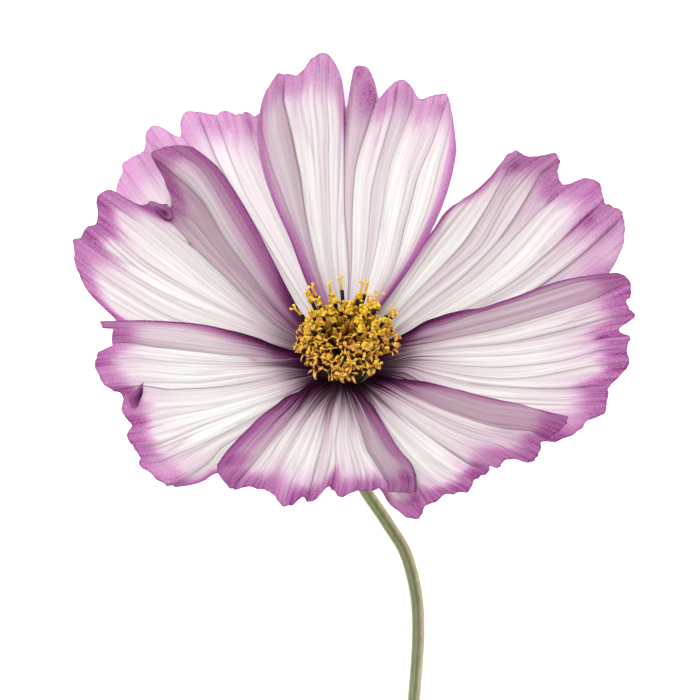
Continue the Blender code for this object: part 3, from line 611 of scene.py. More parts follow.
def petal_finish():
    """White with fine veins, a streaked purple rim and a maroon root; light comes through. Painted shade
    darkens pads and creases, and painted light whitens some petals.
    """
    f = Finish("petal_finish")
    uv = f.add("ShaderNodeUVMap", uv_map="UVMap").outputs[0]
    purple, maroon = f.value("purple"), f.value("maroon")
    crease_shade, shade = f.value("crease_shade"), f.value("shade")
    fine = f.noise(f.stretched(uv, (2.4, 0.025, 1)), 1.0, 3.0, 0.6)
    broad = f.noise(f.stretched(uv, (0.6, 0.04, 1)), 1.0, 2.0, 0.5)
    grain = f.noise(f.stretched(uv, (7.0, 2.2, 1)), 1.0, 2.0, 0.5)
    cells = f.noise(f.stretched(uv, (9.0, 6.0, 1)), 1.0, 1.0, 0.5)
    hair = f.noise(f.stretched(uv, (5.5, 0.035, 1)), 1.0, 2.0, 0.55)
    # thin veins, which run along the petal and part and meet
    lines = f.noise(f.stretched(uv, (0.9, 0.010, 1)), 1.0, 2.0, 0.7)
    vein = f.level(f.math("ABSOLUTE", f.math("SUBTRACT", lines, 0.5)), 0.0, 0.016, 1.0, 0.0)
    # pale ground with fine striations
    ground = f.ramp(fine, (0.30, colour(219, 220, 216)), (0.46, colour(240, 241, 238)),
                    (0.60, colour(252, 255, 251)))
    tint = f.ramp(broad, (0.36, colour(249, 241, 246)), (0.52, colour(255, 255, 253)))
    ground = f.mix(0.7, ground, f.mix(1.0, ground, tint, "MULTIPLY"))
    ground = f.mix(f.level(hair, 0.46, 0.34, 0.0, 0.30), ground, colour(190, 178, 172))
    ground = f.mix(f.level(hair, 0.56, 0.68, 0.0, 0.5), ground, colour(255, 254, 252))
    ground = f.mix(f.level(cells, 0.3, 0.6, 0.22, 0.0), ground, colour(190, 172, 182))
    ground = f.mix(f.math("MULTIPLY", vein, 0.35), ground, colour(176, 158, 162))
    # painted light: the ground is whitened on the petals that get less light from behind
    ground = f.mix(f.math("MULTIPLY", f.value("pale"), 0.6), ground, colour(255, 253, 254))
    # painted shade: mauve on the shaded pads and beside the creases, less under the rim
    painted_shade_tint = f.ramp(fine, (0.34, colour(176, 142, 164)), (0.62, colour(206, 178, 194)))
    painted_shade_share = f.math("MULTIPLY", shade, f.level(purple, 0.35, 1.0, 0.95, 0.5), clamp=True)
    ground = f.mix(painted_shade_share, ground, painted_shade_tint)
    # painted shade: a dark line along each crease
    ground = f.mix(f.math("MULTIPLY", crease_shade, 0.75), ground, colour(138, 102, 122))
    # the purple rim, streaked along the veins
    streak = f.math("MULTIPLY_ADD", fine, 0.9, f.math("MULTIPLY", grain, 0.5))
    streak = f.math("MULTIPLY_ADD", hair, 0.4, streak)
    streaked = f.level(streak, 0.6, 1.2, 0.4, 1.42)
    streaked = f.math("MULTIPLY", streaked, f.level(cells, 0.3, 0.7, 1.18, 0.82))
    amount = f.math("MULTIPLY", purple, streaked, clamp=True)
    rim = f.ramp(amount, (0.0, colour(255, 255, 255)), (0.3, colour(238, 200, 233)),
                 (0.6, colour(216, 148, 208)), (1.0, colour(172, 78, 162)))
    paint = f.mix(1.0, ground, rim, "MULTIPLY")
    paint = f.mix(f.math("MULTIPLY", f.math("MULTIPLY", vein, amount), 0.35), paint,
                  colour(150, 70, 140))
    stain = f.math("MULTIPLY", maroon, f.level(hair, 0.35, 0.62, 1.6, 0.8), clamp=True)
    paint = f.mix(stain,
                  paint, f.ramp(maroon, (0.2, colour(188, 126, 174)), (0.5, colour(120, 28, 98)),
                                (1.0, colour(46, 0, 32))))
    height = f.math("MULTIPLY_ADD", fine, 1.0, f.math("MULTIPLY", hair, 0.5))
    height = f.math("SUBTRACT", height, f.math("MULTIPLY", vein, 0.25))
    normal = f.bump(height, 0.35, 0.10)
    through = f.add("ShaderNodeBsdfTranslucent", {"Color": paint, "Normal": normal})
    both = f.add("ShaderNodeMixShader", {"Fac": 0.6})
    f.feed(both.inputs[1], f.skin(paint, 0.55, normal, shine=0.12))
    f.feed(both.inputs[2], through.outputs[0])
    return f.end(both.outputs[0])


def plain_finish(name, dark, light):
    """A mottled finish between two colours."""
    f = Finish(name)
    mottle = f.noise(f.place(), 2500.0, 4.0, 0.6)
    paint = f.ramp(mottle, (0.3, dark), (0.7, light))
    return f.end(f.skin(paint, 0.6, f.bump(mottle, 0.4, 0.08)))


def stem_finish():
    """Green near the flower and greyer below, with pale ribs, and painted light and shade round it: one
    side light, one tan, darker between.
    """
    f = Finish("stem_finish")
    where = f.place()
    mottle = f.noise(where, 3000.0, 4.0, 0.65)
    drawn = f.noise(f.stretched(where, (1.0, 0.12, 1.0)), 3500.0, 3.0, 0.6)
    bloom = f.noise(where, 260.0, 2.0, 0.5)
    # painted light and shade round the stem, by the way each side faces
    paint = f.ramp(f.value("painted_light_side"), (0.0, colour(188, 196, 150)), (0.28, colour(142, 150, 104)),
                   (0.5, colour(92, 102, 68)), (0.74, colour(118, 122, 90)),
                   (1.0, colour(190, 168, 136)))
    paint = f.mix(f.level(f.value("rib"), 0.4, 0.95, 0.0, 0.35), paint, colour(206, 210, 176))
    paint = f.mix(f.level(drawn, 0.56, 0.36, 0.0, 0.4), paint, colour(92, 98, 68))
    paint = f.mix(f.level(bloom, 0.5, 0.7, 0.0, 0.25), paint, colour(166, 148, 112))
    young = f.math("MULTIPLY", f.value("young"), 0.8)
    paint = f.mix(young, paint, colour(226, 230, 124), "MULTIPLY")
    paint = f.mix(f.level(mottle, 0.5, 0.3, 0.0, 0.3), paint, colour(80, 84, 62))
    return f.end(f.skin(paint, 0.55, f.bump(drawn, 0.4, 0.05)))


def receptacle_finish():
    """Grey-green skin below, and painted shade, dark brown, on the dome between the florets."""
    f = Finish("receptacle_finish")
    mottle = f.noise(f.place(), 2500.0, 4.0, 0.6)
    green = f.ramp(mottle, (0.3, colour(84, 92, 62)), (0.7, colour(136, 142, 104)))
    # painted shade between the florets' feet
    chaff_and_shade = f.ramp(mottle, (0.3, colour(22, 12, 8)), (0.7, colour(56, 36, 20)))
    edge = f.math("ADD", f.value("crown"), f.level(mottle, 0.3, 0.7, -0.25, 0.25))
    paint = f.mix(f.level(edge, 0.35, 0.65), green, chaff_and_shade)
    return f.end(f.skin(paint, 0.7, f.bump(mottle, 0.5, 0.1)))


def floret_finish():
    """Yellow when fresh and tan when spent, with painted shade that darkens it down in the tube."""
    f = Finish("floret_finish")
    tip, age = f.value("tip"), f.value("age")
    mottle = f.noise(f.place(), 2800.0, 4.0, 0.7)
    # tip runs from 0 deep in the tube to 1 at the tips; its dark low end is painted shade
    fresh = f.ramp(tip, (0.0, colour(58, 34, 6)), (0.45, colour(178, 124, 14)),
                   (0.75, colour(230, 180, 26)), (1.0, colour(254, 222, 66)))
    spent = f.ramp(tip, (0.0, colour(46, 26, 18)), (0.5, colour(148, 92, 48)),
                   (0.8, colour(228, 160, 80)), (1.0, colour(252, 206, 116)))
    paint = f.mix(age, fresh, spent)
    paint = f.mix(f.level(mottle, 0.5, 0.66, 0.0, 0.7), paint, colour(118, 70, 6))
    paint = f.mix(f.level(mottle, 0.45, 0.3, 0.0, 0.5), paint, colour(255, 228, 110))
    return f.end(f.skin(paint, 0.6, f.bump(mottle, 0.5, 0.08)))


# ---------------------------------------------------------------- petals

def lobe_ridge(lobes, u):
    """How near a place across is to a lobe's ridge: 0 in a notch and 1 on a ridge."""
    places = np.array(lobes, float)
    i = np.clip(np.searchsorted(places, u, side="left") - 1, 0, len(places) - 2)
    w = np.clip((u - places[i]) / (places[i + 1] - places[i]), 0, 1)
    return np.sin(np.where(i % 2 == 0, w, 1 - w) * pi / 2) ** LOBE_ROUNDNESS


def half_widths(petal, x):
    """Half widths of the usual petal, left and right, at a share of the length."""
    halves = []
    for side, full, wedge in zip(("left", "right"), petal["full"],
                                 petal.get("wedge", USUAL_WEDGE)):
        widening = np.sin(np.minimum(x / full, 1.0) * pi / 2) ** wedge
        halves.append(CLAW_HALF_WIDTH + (petal[side] - CLAW_HALF_WIDTH) * widening)
    return halves


def soft_ramp(x):
    """0 below zero and x above it, with a soft turn between."""
    return 0.5 * (x + np.sqrt(x * x + FOLD_SOFTNESS * FOLD_SOFTNESS))


def curve_through(points, at):
    """A smooth curve through the points, which never swings past them."""
    px, py = np.array(points, float).T
    step = np.diff(px)
    slope = np.diff(py) / step
    tangent = np.zeros(len(px))
    tangent[0], tangent[-1] = slope[0], slope[-1]
    for i in range(1, len(px) - 1):
        if slope[i - 1] * slope[i] > 0:
            tangent[i] = 2 * slope[i - 1] * slope[i] / (slope[i - 1] + slope[i])
    i = np.clip(np.searchsorted(px, at) - 1, 0, len(step) - 1)
    t = np.clip((at - px[i]) / step[i], 0, 1)
    start, end = tangent[i] * step[i], tangent[i + 1] * step[i]
    rise = py[i + 1] - py[i]
    return py[i] + start * t + (3 * rise - 2 * start - end) * t ** 2 \
        + (start + end - 2 * rise) * t ** 3


def crease_lines(petal, x):
    """Where the left side, each crease and the right side lie across, at each x."""
    left, right = petal["sides"]
    lines = [-curve_through(left, x)]
    end = curve_through(right, x)
    for number, crease in enumerate(petal["creases"]):
        after = len(petal["creases"]) - number
        line = np.maximum(curve_through(crease[3], x), lines[-1] + CREASE_GAP)
        lines.append(np.minimum(line, end - after * CREASE_GAP))
    return np.array(lines + [end])


def crease_labels(petal):
    """The fixed number of each line: its place across at mid length."""
    return crease_lines(petal, np.array([0.55]))[:, 0]


def across_from_label(petal, label, x):
    """Place across of a line's number, each at its own x."""
    labels, lines = crease_labels(petal), crease_lines(petal, x)
    i = np.clip(np.searchsorted(labels, label) - 1, 0, len(labels) - 2)
    share = (label - labels[i]) / (labels[i + 1] - labels[i])
    rows = np.arange(len(x))
    return lines[i, rows] * (1 - share) + lines[i + 1, rows] * share


def label_from_across(petal, u, x):
    """The number of the line that passes through a place across."""
    labels, lines = crease_labels(petal), crease_lines(petal, x)
    label = labels[0] + (u - lines[0])
    for low, high, a, b in zip(lines, lines[1:], labels, labels[1:]):
        label = np.where(u >= low, a + (b - a) * (u - low) / (high - low), label)
    return label


def pads(label, creases):
    """Height of the pads between creases, from 0 in a crease to 1 on a pad, and their width."""
    edges = np.array(creases)
    i = np.clip(np.searchsorted(edges, label) - 1, 0, len(edges) - 2)
    width = edges[i + 1] - edges[i]
    t = np.clip((label - edges[i]) / width, 0, 1)
    return (4 * t * (1 - t)) ** 0.75, width


def fine_creases(petal):
    """Places across of the narrow creases between veins."""
    steps = np.random.RandomState(petal["seed"]).uniform(0.04, 0.11, 48)
    places = np.cumsum(steps) - 1.0
    return [-1.0] + list(places[places < 0.97]) + [1.0]


def petal_bed(petal, u, x):
    """Middle surface at a place across and a share of the length, and its upward direction."""
    length = petal["length"]
    left, right = half_widths(petal, x)
    half = np.where(u < 0, left, right)
    across = u * half
    start = radians(petal["rise"])
    curl = radians(petal.get("bend", USUAL_BEND)) / length
    slope = start + curl * x * length
    radius = ROOT_RADIUS + (np.sin(slope) - sin(start)) / curl
    sag = ROOT_RADIUS - np.sqrt(np.maximum(ROOT_RADIUS ** 2 - across ** 2, 4.0))
    radius = radius - sag * smooth_step(0.12, 0.0, x) - 0.6 * smooth_step(0.06, 0.0, x)
    height = petal.get("lift", 0.0) + (cos(start) - np.cos(slope)) / curl
    lines = crease_lines(petal, x)
    relief = petal.get("camber", 0.0) * u * u
    for side, fold in ((-1, "fold_left"), (1, "fold_right")):
        if fold in petal:
            amount, number = petal[fold]
            relief = relief + amount * soft_ramp(side * (u - lines[number + 1]))
    relief = relief * (left + right) / 2 * np.minimum(x / FOLD_START, 1.0)
    flare = np.where(u < 0, *petal.get("flare", (ROOT_FLARE, ROOT_FLARE)))
    relief = relief + flare * np.maximum(np.abs(u) - 1, 0) * half
    ridge = lobe_ridge(petal["lobes"], u)
    relief = relief + PLEAT * (ridge - 0.5) * x ** PLEAT_GROWTH
    growth = x ** 0.8
    label = label_from_across(petal, u, x)
    pad, width = pads(label, crease_labels(petal))
    relief = relief + PAD * (pad - 0.5) * np.minimum(width, 0.6) * growth
    pad, width = pads(label, fine_creases(petal))
    relief = relief + FINE_PAD * (pad - 0.5) * width * growth
    roll = radians(petal.get("roll", 0.0))
    normal = np.stack([-np.sin(slope), np.zeros_like(slope), np.cos(slope)], 1)
    sideways = np.array([0, -cos(roll), 0]) + normal * sin(roll)
    lifted = np.array([0, sin(roll), 0]) + normal * cos(roll)
    middle = np.stack([radius, np.zeros_like(radius), height], 1)
    return middle + sideways * across[:, None] + lifted * relief[:, None], lifted


def edge_reach(petal, u):
    """Reach of the fine petal's tip."""
    reach = curve_through(petal["edge"], u)
    seed = petal["seed"]
    return reach + 0.002 * wander(u * 30 + 50, seed) + 0.001 * wander(u * 66 + 90, seed + 1)


def column_labels(petal, columns):
    """Labels of the grid's columns: closer at creases and notches, and one on each crease."""
    creases = crease_labels(petal)
    label = np.linspace(creases[0], creases[-1], 2001)
    notches = np.array([place for place, _ in petal["edge"]])
    notches = label_from_across(petal, notches, np.full(len(notches), 0.9))
    crowd = np.ones_like(label)
    for at, much, spread in [(c, 3.0, 0.012) for c in creases] + [(n, 0.8, 0.02) for n in notches]:
        crowd += much * np.exp(-((label - at) / spread) ** 2)
    total = np.r_[0, np.cumsum((crowd[1:] + crowd[:-1]) / 2)]
    columns = np.interp(columns, total / total[-1] * 2 - 1, label)
    kinds = np.unique(columns)
    for at in creases[1:-1]:
        closest = kinds[np.abs(kinds - at).argmin()]
        columns[np.abs(columns - closest) < 1e-9] = at
    return columns


def flat_place(petal, u, x):
    """A place on the petal laid flat: along and across, in mm."""
    left, right = half_widths(petal, x)
    return np.stack([x * petal["length"], u * np.where(u < 0, left, right)], 1)


def distance_to(line, points):
    """Distance of each point to the closest point of a line."""
    best = np.full(len(points), 1e9)
    for start in range(0, len(line), 64):
        gap = points[:, None] - line[None, start:start + 64]
        best = np.minimum(best, np.hypot(gap[..., 0], gap[..., 1]).min(1))
    return best


def petal_piece(name, petal):
    """One petal: a sheet with its own outline, creases and rim, and its small curls."""
    seed = petal["seed"]
    obj = grid_piece(name.replace("petal_", "ray_petal_"), PETAL_COLUMNS, PETAL_ROWS)
    columns, along = grid_places(obj)
    label = column_labels(petal, columns)
    u = label
    for _ in range(FITTING_ROUNDS):
        x = along * edge_reach(petal, u)
        u = across_from_label(petal, label, x)
    x = along * edge_reach(petal, u)
    flat = flat_place(petal, u, x)
    rim = np.linspace(-RIM_SPAN, RIM_SPAN, 1600)
    tip_gap = distance_to(flat_place(petal, rim, edge_reach(petal, rim)), flat)
    side_at = np.linspace(0, 1.05, 300)
    side_gap = [distance_to(flat_place(petal, crease_lines(petal, side_at)[number], side_at), flat)
                for number in (0, -1)]

    ruffle = 0.30 * wander(u * 9 + 60, seed + 6) + 0.16 * wander(u * 24 + 70, seed + 7)
    up = ruffle * np.exp(-tip_gap / 2.0) * x
    bed, lifted = petal_bed(petal, u, x)
    set_points(obj, bed + lifted * up[:, None])
    paint_petal(obj, petal, label, u, x, tip_gap, side_gap)
    thicken(obj, PETAL_THICKNESS)
    horns = [petal_horn(petal, horn) for horn in petal.get("horns", ())]
    if horns:
        only(obj)
        for horn in horns:
            horn.select_set(True)
        bpy.ops.object.join()
    place(obj, HEAD @ Matrix.Rotation(radians(petal["azimuth"]), 4, "Z"))
    # the tips of the lowest petals lie on the floor
    laid = get_points(obj)
    above = laid[:, 2] - cad_low.z / MM
    laid[:, 2] += 0.5 * np.maximum(TIP_REST - above, 0)
    set_points(obj, laid)
    return obj


def petal_horn(petal, horn):
    """A small curl of the rim, which stands on the petal and runs out to a point."""
    points, width, purple, maroon = horn
    path = np.array(points)
    t = np.linspace(0, 1, STRAND_ROWS + 1)
    steps = np.linspace(0, 1, len(path))
    u, x, rise = (curve_through(list(zip(steps, column)), t) for column in path.T)
    bed, lifted = petal_bed(petal, u, x)
    centres = bed + lifted * rise[:, None]
    ahead = np.gradient(centres, axis=0)
    sideways = np.cross(lifted, ahead)
    sideways /= np.linalg.norm(sideways, axis=1)[:, None]
    obj = strand("petal_horn", centres, sideways, width * np.sin(pi * t ** 0.5),
                 HORN_HALF_THICKNESS * np.sin(pi * t ** 0.5) ** 0.5)
    _, angle, row = TUBES[STRAND_SIDES, STRAND_ROWS]
    row = row / STRAND_ROWS
    dark = maroon * np.sin(pi * row) * (0.5 - 0.5 * np.cos(angle))
    for name, values in (("purple", purple + 0 * row), ("maroon", dark),
                         ("crease_shade", 0 * row), ("shade", 0 * row), ("pale", 0 * row)):
        add_values(obj, name, values)
    return obj


def paint_petal(obj, petal, label, u, x, tip_gap, side_gap):
    """Values that the petal's finish reads: purple rim, maroon root, painted shade along the creases, on
    the pads and in patches, and painted light that whitens the ground.
    """
    seed, length = petal["seed"], petal["length"]
    streak = 0.5 * wander(label * 14 + 30, seed + 8) + 0.4 * wander(label * 37 + 60, seed + 9)
    hairs = 0.5 * wander(label * 80 + 100, seed + 12)
    strands = 0.5 * wander(label * 44 + 130, seed + 14)
    low = curve_through(petal["low"], u) + 0.06 * streak + 0.05 * hairs + 0.05 * strands
    reach = edge_reach(petal, u)
    begin = np.minimum(low - 0.06, reach - 0.12)
    past = np.clip((x - begin) / (reach * 0.96 - begin), 0, 1)
    purple = petal["strength"] * past ** 1.2 * (1 - 0.2 * smooth_step(0.6, 1, past))
    tail = 0.2 * np.clip(1 - (begin - x) / 0.28, 0, 1) ** 2 * np.clip(0.5 + strands + hairs, 0, 1.4)
    purple = np.maximum(purple, tail * petal["strength"])
    purple = purple * (0.9 + 0.3 * streak) + 0.12 * np.exp(-(tip_gap / 0.25) ** 2)
    maroon = np.zeros_like(u)
    for gap, margin in zip(side_gap, petal["margins"]):
        at_tip, at_root, amount, dark = margin
        near_root = smooth_step(0.5, 0.08, x)
        width = (at_tip + (at_root - at_tip) * near_root) * (1 + 0.35 * streak)
        edge = np.exp(-(gap / np.maximum(width, 0.12)) ** 1.6)
        purple = np.maximum(purple, edge * (amount + (1 - amount) * near_root))
        maroon = np.maximum(maroon, edge * dark * near_root)
    root_length, root_dark = petal.get("root", (1.5, 0.5))
    root_reach = root_length * np.clip(1 + 0.6 * streak + 1.3 * strands, 0.2, 2)
    root = np.exp(-(x * length / root_reach) ** 2) * root_dark
    wash = 0.6 * np.exp(-(x * length / (1.15 * root_length)) ** 2) * root_dark
    maroon = np.maximum(maroon, np.maximum(root, wash))

    # painted shade: each pad's own level, and a soft band on one side of each crease
    labels = crease_labels(petal)
    pad = np.clip(np.searchsorted(labels, label + 1e-9) - 1, 0, len(labels) - 2)
    shade = np.array(petal["pads"])[pad] * (0.9 + 0.35 * streak)
    crease_shade = np.zeros_like(u)
    wide = np.diff(labels)
    for number, (line, on_left, on_right, points) in enumerate(petal["creases"]):
        away = label - labels[number + 1]
        strong = smooth_step(0.02, 0.12, x) * smooth_step(1.0, 0.93, x / reach)
        # painted shade: a dark line along the crease
        crease_shade = np.maximum(crease_shade, line * strong * np.exp(-(away / 0.007) ** 2))
        spread = np.where(away < 0, wide[number], wide[number + 1]) * 0.35
        one_side = np.where(away < 0, on_left, on_right) * np.exp(-np.abs(away) / spread)
        shade = np.maximum(shade, 0) + one_side * strong * (1 - np.minimum(shade, 1))
    for kind, at_u, at_x, du, dx, amount in petal["patches"]:
        at_label = label_from_across(petal, np.array([at_u]), np.array([at_x]))[0]
        near = np.exp(-((label - at_label) / du) ** 2 - ((x - at_x) / dx) ** 2)
        spot = amount * near * (1 + 0.3 * streak)
        if kind == "purple":
            purple = np.maximum(purple, spot) if amount > 0 else purple * (1 + spot)
        elif kind == "maroon":
            maroon = np.maximum(maroon, spot)
        else:
            # a shade patch is painted shade
            shade = np.maximum(shade, spot)
    purple = np.maximum(purple, 0)
    # painted light: how far this petal's ground is whitened
    pale = petal.get("pale", 0) * (0.85 + 0.3 * streak)
    for name, values in (("purple", purple), ("maroon", maroon), ("crease_shade", crease_shade),
                         ("shade", shade), ("pale", pale)):
        add_values(obj, name, values)
    map_surface(obj, label * (petal["left"] + petal["right"]) / 2, x * length)


# ---------------------------------------------------------------- receptacle, bracts, stem

def between(table, x):
    """Reads a table of (place, value) at x, with straight lines between its rows."""
    return np.interp(x, [a for a, _ in table], [b for _, b in table])


def dome_height(radius):
    """Height of the receptacle's top at a distance from its axis."""
    dome = [(r, z) for r, z in reversed(RECEPTACLE) if z >= RECEPTACLE_EDGE]
    return between(dome, radius)


def close_seam(obj):
    """Merges the two ends of a grid that was rolled into a tube, and closes its poles."""
    only(obj)
    bpy.ops.object.mode_set(mode="EDIT")
    bpy.ops.mesh.select_all(action="SELECT")
    bpy.ops.mesh.remove_doubles(threshold=SEAM_GAP * MM)
    bpy.ops.mesh.normals_make_consistent(inside=False)
    bpy.ops.object.mode_set(mode="OBJECT")


def receptacle_piece():
    """The widened top of the stem: ribbed below and rough with chaff on its dome."""
    obj = grid_piece("receptacle_cone", 96, 66)
    across, along = grid_places(obj)
    profile = np.array(RECEPTACLE)
    steps = np.r_[0, np.cumsum(np.hypot(*np.diff(profile, axis=0).T))]
    at = along * steps[-1]
    r, z = np.interp(at, steps, profile[:, 0]), np.interp(at, steps, profile[:, 1])
    angle = across * pi
    ribs = 0.06 * np.cos(angle * 8) * smooth_step(0.6, 3.0, r) * (z < -0.5)
    chaff_and_shade = 0.10 * wander_2d(r * 3 + 30, (angle + 4) * 5, 5) * smooth_step(1.0, 1.8, z)
    r = np.maximum(r + ribs * smooth_step(0, 0.3, r), 0)
    set_points(obj, np.stack([r * np.cos(angle), r * np.sin(angle), z + chaff_and_shade], 1))
    bare = np.exp(-((angle - BARE_AZIMUTH) / BARE_SPREAD) ** 2)
    # crown: where the dome's painted shade lies, lower at the green shoulder
    add_values(obj, "crown", smooth_step(-1.0, -0.4, z - BARE_DEPTH * bare))
    close_seam(obj)
    place(obj, HEAD)
    return obj


def bract_piece(name, bract, index):
    """One bract of a whorl: a narrow leaf, hollowed along its middle and ribbed."""
    obj = grid_piece(name, 14, 30)
    u, v = grid_places(obj)
    start = radians(bract["slope"])
    curl = radians(bract["bend"]) / bract["length"]
    slope = start + curl * v * bract["length"]
    radius = bract["root"] + (np.sin(slope) - sin(start)) / curl
    height = bract["height"] + (cos(start) - np.cos(slope)) / curl
    half = bract["width"] / 2 * between(BRACT_WIDTHS, v)
    ribs = 0.05 * np.cos(u * 9) * smooth_step(0, 0.2, v) * smooth_step(1.0, 0.8, v)
    height = height + bract["cup"] * u * u * half + ribs
    set_points(obj, np.stack([radius, -u * half, height], 1))
    map_surface(obj, u * bract["width"] / 2, v * bract["length"])
    thicken(obj, BRACT_THICKNESS)
    azimuth = radians(bract["azimuth"] + index * 360 / BRACT_COUNT)
    place(obj, HEAD @ Matrix.Rotation(azimuth, 4, "Z"))
    return obj


def smooth_route(points, steps):
    """Catmull-Rom curve through the points, with some steps between each two."""
    route = [Vector(point) for point in points]
    ends = [route[0] * 2 - route[1]] + route + [route[-1] * 2 - route[-2]]
    smooth = []
    for a, b, c, d in zip(ends, ends[1:], ends[2:], ends[3:]):
        for i in range(steps):
            t = i / steps
            smooth.append(0.5 * (2 * b + (c - a) * t + (2 * a - 5 * b + 4 * c - d) * t ** 2
                                 + (3 * b - a - 3 * c + d) * t ** 3))
    return smooth + [route[-1]]


def stem_piece():
    """The ribbed stem along its route, closed at both ends."""
    centres = smooth_route(STEM_ROUTE, STEM_STEPS)
    rings = len(centres)
    obj = grid_piece("green_stem", 48, rings + 1)
    across, along = grid_places(obj)
    row = np.rint(along * (rings + 1)).astype(int)
    turn = (across + 1) * pi
    frames, side = [], Vector((1, 0, 0))
    for i, centre in enumerate(centres):
        before, after = centres[max(i - 1, 0)], centres[min(i + 1, rings - 1)]
        ahead = (after - before).normalized()
        side = (side - ahead * side.dot(ahead)).normalized()
        frames.append((centre, side.copy(), ahead.cross(side)))
    centre = np.array([f[0] for f in frames])
    sides = np.array([f[1] for f in frames])
    ups = np.array([f[2] for f in frames])
    ring = np.clip(row - 1, 0, rings - 1)
    ridge = 0.5 - 0.5 * np.cos(turn * STEM_RIBS)
    radius = STEM_RADIUS + STEM_RIB_DEPTH * ridge ** 0.7
    radius = np.where((row == 0) | (row == rings + 1), 0.0, radius)
    points = (centre[ring] + sides[ring] * (radius * np.cos(turn))[:, None]
              + ups[ring] * (radius * np.sin(turn))[:, None])
    points += np.array(HEAD_CENTRE) - np.array((0, 0, HEAD_HEIGHT))
    set_points(obj, points)
    add_values(obj, "rib", ridge)
    # which way each side faces, for the painted light and shade round the stem
    add_values(obj, "painted_light_side", 0.5 + 0.5 * np.cos(turn))
    add_values(obj, "young", np.exp(-(ring / rings / YOUNG_SHARE) ** 2))
    close_seam(obj)
    return obj


# ---------------------------------------------------------------- disc florets

TUBES = {}


def tube_piece(name, columns, rows):
    """A closed tube to be shaped, with the angle and the row of each of its vertices."""
    if (columns, rows) not in TUBES:
        made = grid_piece("tube_pattern", columns, rows)
        across, along = grid_places(made)
        add_values(made, "angle", across * pi)
        add_values(made, "row", along * rows)
        round_ = np.sin(pi * along)
        set_points(made, np.stack([round_ * np.cos(across * pi), round_ * np.sin(across * pi),
                                   along * rows], 1))
        close_seam(made)
        mesh = made.data
        places = [np.zeros(len(mesh.vertices)) for _ in range(2)]
        for key, values in zip(("angle", "row"), places):
            mesh.attributes[key].data.foreach_get("value", values)
            mesh.attributes.remove(mesh.attributes[key])
        TUBES[columns, rows] = mesh, places[0], np.rint(places[1]).astype(int)
        bpy.data.objects.remove(made)
    mesh, angle, row = TUBES[columns, rows]
    obj = bpy.data.objects.new(name, mesh.copy())
    bpy.context.collection.objects.link(obj)
    return obj, angle, row


def revolved(name, columns, profile, grooves=0, depth=0.0, lumps=0.0, seed=0):
    """A closed body turned about Z from (height, radius) points, grooved or lumpy."""
    obj, angle, row = tube_piece(name, columns, len(profile) - 1)
    z, r = (np.array(column)[row] for column in zip(*profile))
    r = r * (1 + depth * np.cos(angle * grooves))
    swell = wander_2d(z * 3 + 20, 3 * np.cos(angle) + 10, seed)
    swell += 0.6 * wander_2d(z * 7 + 20, 6 * np.sin(angle) + 10, seed + 1)
    r = r * (1 + lumps * swell)
    set_points(obj, np.stack([r * np.cos(angle), r * np.sin(angle), z], 1))
    return obj


def strand(name, centres, sideways, widths, depths):
    """A closed strand along a path, oval in section: a lobe, an arm or a stalk."""
    obj, angle, row = tube_piece(name, STRAND_SIDES, STRAND_ROWS)
    ahead = np.gradient(centres, axis=0)
    ahead /= np.linalg.norm(ahead, axis=1)[:, None]
    normal = np.cross(ahead, sideways)
    normal /= np.maximum(np.linalg.norm(normal, axis=1), 1e-6)[:, None]
    sideways = np.cross(normal, ahead)
    set_points(obj, centres[row] + sideways[row] * (widths[row] * np.cos(angle))[:, None]
               + normal[row] * (depths[row] * np.sin(angle))[:, None])
    return obj


def curl_strand(name, angle, radius, height, length, lean, curl, twist, width, depth, rng):
    """A strand that leaves the floret's axis at an angle, leans out and curls back."""
    t = np.linspace(0, 1, STRAND_ROWS + 1)
    turn = radians(lean) + radians(curl) * t ** 1.3
    step = length / STRAND_ROWS
    out = radius + np.r_[0, np.cumsum(np.sin(turn[:-1]))] * step
    up = height + np.r_[0, np.cumsum(np.cos(turn[:-1]))] * step
    sway = rng.uniform(-0.4, 0.4) * length * t ** 2
    radial = np.array([cos(angle), sin(angle), 0])
    tangent = np.array([-sin(angle), cos(angle), 0])
    centres = out[:, None] * radial + sway[:, None] * tangent
    centres[:, 2] = up
    spin = radians(twist) * t
    ahead = np.sin(turn)[:, None] * radial + np.cos(turn)[:, None] * np.array([0, 0, 1])
    sideways = (tangent * np.cos(spin)[:, None]
                + np.cross(ahead, tangent) * np.sin(spin)[:, None])
    return strand(name, centres, sideways, width(t), depth(t))


def lobe_width(full):
    """Half width of a lobe along its length: broad, then rounded off."""
    return lambda t: full * np.minimum(1, 0.6 + 1.4 * t) * np.sqrt(np.clip(1 - t ** 2.4, 0, 1))


def arm_width(full):
    """Half width of a stigma's arm along its length, which ends in a brush."""
    return lambda t: full * np.interp(t, [0, 0.1, 0.55, 0.78, 0.93, 1],
                                      [0, 0.8, 0.8, 1.6, 1.4, 0])


